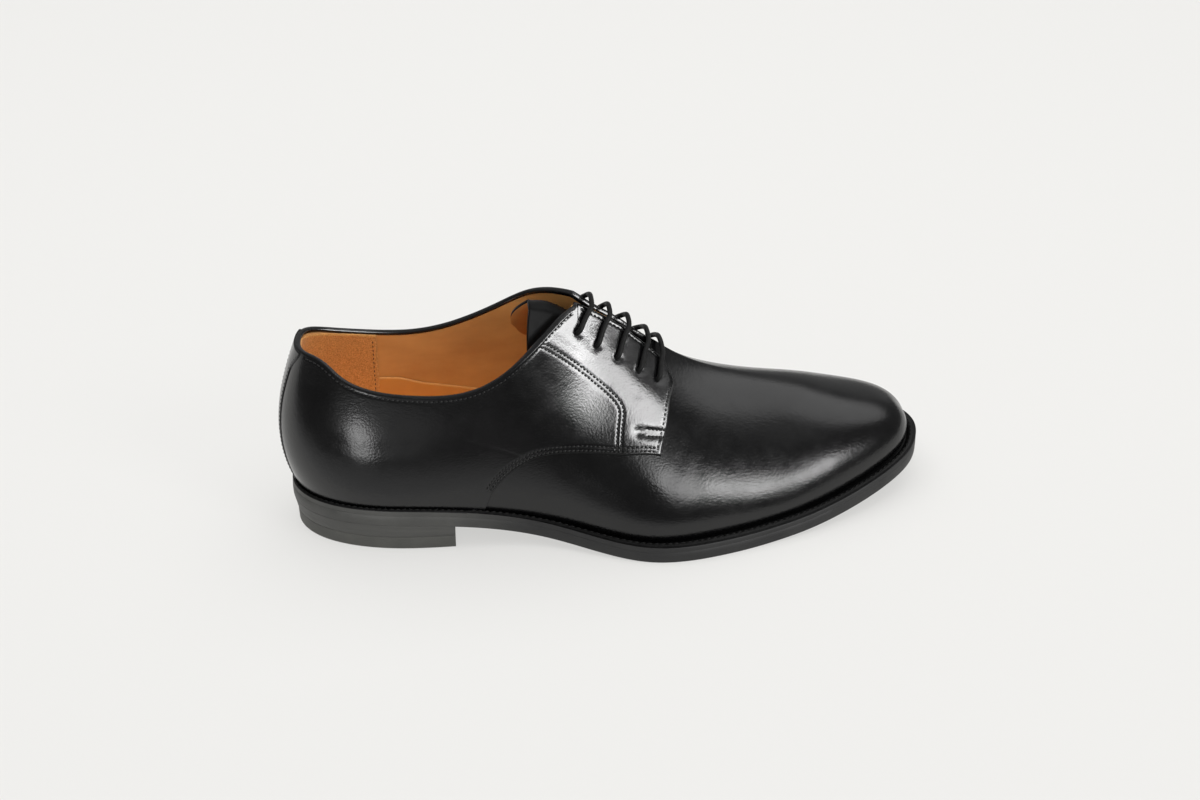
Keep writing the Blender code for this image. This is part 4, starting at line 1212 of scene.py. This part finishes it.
# Tongue: saddle under the facings, its top end curled to the outer side
tongue = {
    # way, depth under the last, lower edge's height, half width of the crest, its rise, share of the curl
    "rows": ((0.672, 2.5, 0.80, 7.0, 0.8, 0.0), (0.648, 2.7, 0.77, 7.0, 0.9, 0.0),
             (0.615, 5.1, 0.71, 7.5, 1.2, 0.0), (0.580, 5.3, 0.67, 7.5, 1.4, 0.0),
             (0.540, 5.4, 0.65, 7.5, 1.6, 0.0), (0.500, 5.6, 0.64, 8.5, 1.6, 0.15),
             (0.465, 6.2, 0.63, 11.0, 1.4, 0.65), (0.440, 6.8, 0.66, 14.0, 1.2, 0.95),
             (0.430, 7.0, 0.72, 15.0, 1.2, 1.0)),
    "thick": 1.7, "cells": 18, "crestCells": 9, "stations": 90, "curlHalf": 4.5, "lean": 0.012,
    # the curled end's bulge, the share of the curl it starts at, and where its wave starts
    "bulge": 6.0, "bulgeFrom": 0.6, "waveFrom": 0.25,
}


def tongueLine(row):
    way, depth, low, crestGap, crestRise, curl = row
    sides = {}
    for side in (lateral, medial):
        high = heightOffMiddle(side * way, crestGap)
        heights = np.linspace(low, high, tongue["cells"] + 1)
        turns = side * (way - curl * tongue["lean"] * np.linspace(1, 0, tongue["cells"] + 1))
        sides[side] = lifted(turns, heights, -depth)
    mirrored = sides[lateral] * np.array([1, -1, 1])
    mirrored[:, 1] += 2 * (sides[lateral][-1, 1] + tongue["curlHalf"])
    bulge = tongue["bulge"] * max(curl - tongue["bulgeFrom"], 0) / (1 - tongue["bulgeFrom"])
    mirrored[:, 0] -= bulge * np.sin(np.linspace(tongue["waveFrom"], 1, len(mirrored)) * math.pi)
    sides[medial] = sides[medial] * (1 - curl) + mirrored * curl
    ends = sides[lateral][-1], sides[medial][-1]
    crest = [ends[0] * (1 - s) + ends[1] * s + np.array([0, 0, crestRise * 4 * s * (1 - s)])
             for s in np.linspace(0, 1, tongue["crestCells"])[1:-1]]
    return [*sides[lateral], *crest, *sides[medial][::-1]]


def buildTongue():
    at = np.linspace(0, 1, len(tongue["rows"]))
    columns = [smoothCurve(at, column(tongue["rows"], i), start="free", end="free") for i in range(6)]
    stations = np.linspace(0, 1, tongue["stations"])
    grid = np.array([tongueLine([float(curve(station)) for curve in columns]) for station in stations][::-1])
    points, faces = thicken(grid.reshape(-1, 3), gridFaces(*grid.shape[:2]), tongue["thick"])
    count = len(points) // 2
    paint = [0 if min(face) < count else 1 for face in faces]
    # the tongue's back faces get the darker lining, painted shade inside the curl
    leathers = [paints["tongueLeather"], paints["shadedTongueLining"]]
    addPiece("tongue", points, faces, leathers, ("tongue",), paint=paint)


buildTongue()


def evenSteps(points, step):
    length = walked(points)
    return valuesAt(np.linspace(0, length[-1], int(length[-1] / step) + 1), length, points)


def laceRoute():
    lay = upper["quarterFrontStep"] + laces["clear"] + laces["radius"]
    under = upper["wall"] + laces["clear"] + laces["radius"]

    def onFacing(side, way, height, lift):
        return lifted(np.array(side * way), np.array(height), lift)

    route, start = [], lateral
    for row, (way, height, gain, rise) in enumerate(laces["eyelets"]):
        bar = {}
        for side in (lateral, medial):
            edge = throatHeight(side * (way + gain))
            bar[side] = [onFacing(side, way, height, -under), onFacing(side, way, height, lay)]
            for share in (*laces["barStops"], 1.0):
                lift = lay + laces["edgeLift"] if share == 1.0 else lay
                bar[side].append(onFacing(side, way + gain * share, height + (edge - height) * share, lift))
        middle = (bar[lateral][-1] + bar[medial][-1]) / 2 + np.array([0, 0, rise])
        route += [*bar[start], middle, *bar[-start][::-1]]
        start = -start
        if row + 1 < len(laces["eyelets"]):
            nextWay, nextHeight = laces["eyelets"][row + 1][:2]
            for share in laces["underStops"]:
                route.append(onFacing(start, way + (nextWay - way) * share,
                                      height + (nextHeight - height) * share, -under))
    return evenSteps(rounded(route, laces["passes"]), laces["step"])


# Tube along a path, its radius waved like a braid
def braidTube(path, look):
    tangent = unit(np.gradient(path, axis=0))
    side = unit(np.cross(tangent[0], (0.0, 0.0, 1.0)))
    rings = []
    angles = np.linspace(0, 2 * math.pi, look["sides"], endpoint=False)
    wound = look["strands"] / 2 * angles
    cos, sin = np.cos(angles)[:, None], np.sin(angles)[:, None]
    for i, (point, along) in enumerate(zip(path, tangent)):
        side = unit(side - along * np.dot(side, along))
        other = np.cross(along, side)
        travel = i * look["step"] * 2 * math.pi / look["braidPitch"]
        wave = np.abs(np.sin(wound + travel)) + np.abs(np.sin(wound - travel))
        radius = look["radius"] - look["braid"] + look["braid"] * wave
        rings.append(point + radius[:, None] * (cos * side + sin * other))
    return np.concatenate(rings), tubeFaces(len(path), look["sides"])


def buildLaces():
    points, faces = braidTube(laceRoute(), laces)
    addPiece("laces", points, faces, [paints["waxedCord"]], ("laces",))


buildLaces()


# Stitches: short threads that dip into the leather at both ends
stitching = {"seed": 7, "rings": (-1.0, -0.72, -0.3, 0.3, 0.72, 1.0), "sides": 7, "turn": 5.0,
             "near": 0.3, "tip": 0.12, "endGap": 0.004}
random.seed(stitching["seed"])


def sewRow(name, rows, look, material):
    points, faces = [], []
    sides = stitching["sides"]
    for path, normal in rows:
        length = walked(path)
        count = max(1, int(round(length[-1] / look["pitch"])))
        spots = (np.arange(count) + 0.5) * length[-1] / count
        near = stitching["near"]
        centres, ahead, back = (valuesAt(spots + reach, length, path) for reach in (0.0, near, -near))
        for centre, along, out in zip(centres, unit(ahead - back), unit(valuesAt(spots, length, normal))):
            along = unit(along - out * np.dot(along, out))
            across = np.cross(out, along)
            lean = math.radians(random.gauss(look.get("lean", 0.0), stitching["turn"]))
            along, across = (along * math.cos(lean) + across * math.sin(lean),
                             across * math.cos(lean) - along * math.sin(lean))
            base = len(points)
            for s in stitching["rings"]:
                radius = look["radius"] * math.sqrt(max(stitching["tip"], 1 - abs(s) ** 3))
                middle = centre + along * s * look["length"] / 2 + out * (look["lift"] - look["dip"] * s * s)
                for k in range(sides):
                    angle = 2 * math.pi * k / sides
                    points.append(middle + radius * (across * math.cos(angle) + out * math.sin(angle)))
            faces += tubeFaces(len(stitching["rings"]), sides, base)
    addPiece(name, points, faces, [material])


# Row on the upper from turns and heights, lifted off the last
def sewnLine(turn, v, lift):
    return lifted(turn, v, lift), lastNormal(turn, v)


def sewUpper():
    for kind, name in (("edge", "edgeStitches"), ("fine", "quarterStitches")):
        lines = []
        for side in (lateral, medial):
            for turn, v in seamRows[side][kind]:
                sunk = quarter["groove"] + creaseDepth(quarter["creases"], lastPoint(turn, v))
                lines.append(sewnLine(turn, v, quarterRaise(turn, v) - sunk))
        sewRow(name, lines, seams[kind], paints["thread"])
    lines = []
    heights = np.linspace(seams["stripLow"], float(collarHeight[lateral](0.0)) - seams["belowRim"], 160)
    for side in (lateral, medial):
        turn, v = insetLine(side * stripEdge(heights), heights, seams["stripInset"] * side)
        lines.append(sewnLine(turn, v, strip["lift"]))
    sewRow("stripStitches", lines, seams["strip"], paints["thread"])
    lines = []
    for side in (lateral, medial):
        heights = np.linspace(seams["gripLow"], rimOf(side, grip["edge"]) - seams["belowRim"], 120)
        turn = np.full(len(heights), side * (grip["edge"] - grip["seamInset"]))
        path, normal = sewnLine(turn, heights, grip["lift"])
        lines.append((path, -normal))
    sewRow("gripStitches", lines, seams["grip"], paints["darkThread"])


# Row on top of an edge strip, at a share of its width and a height
def sewStrip(name, turns, place, inset, look):
    path = np.array([stripPoint(turn, (place,), inset)[0] for turn in turns])
    upwards = np.tile((0.0, 0.0, 1.0), (len(path), 1))
    sewRow(name, [(path, upwards)], look, paints["soleThread"])


def sewSole():
    gap = stitching["endGap"]
    turns = (np.linspace(welt["end"] + gap, 2 - welt["end"] - gap, welt["seamCells"]) + 1) % 2 - 1
    sewStrip("weltStitches", turns, welt["seam"], 0.0, seams["welt"])
    turns = np.linspace(-rand["end"] + gap, rand["end"] - gap, rand["seamCells"])
    sewStrip("randStitches", turns, rand["seam"], rand["inset"], seams["rand"])


sewUpper()
sewSole()
print("stitches sewn")
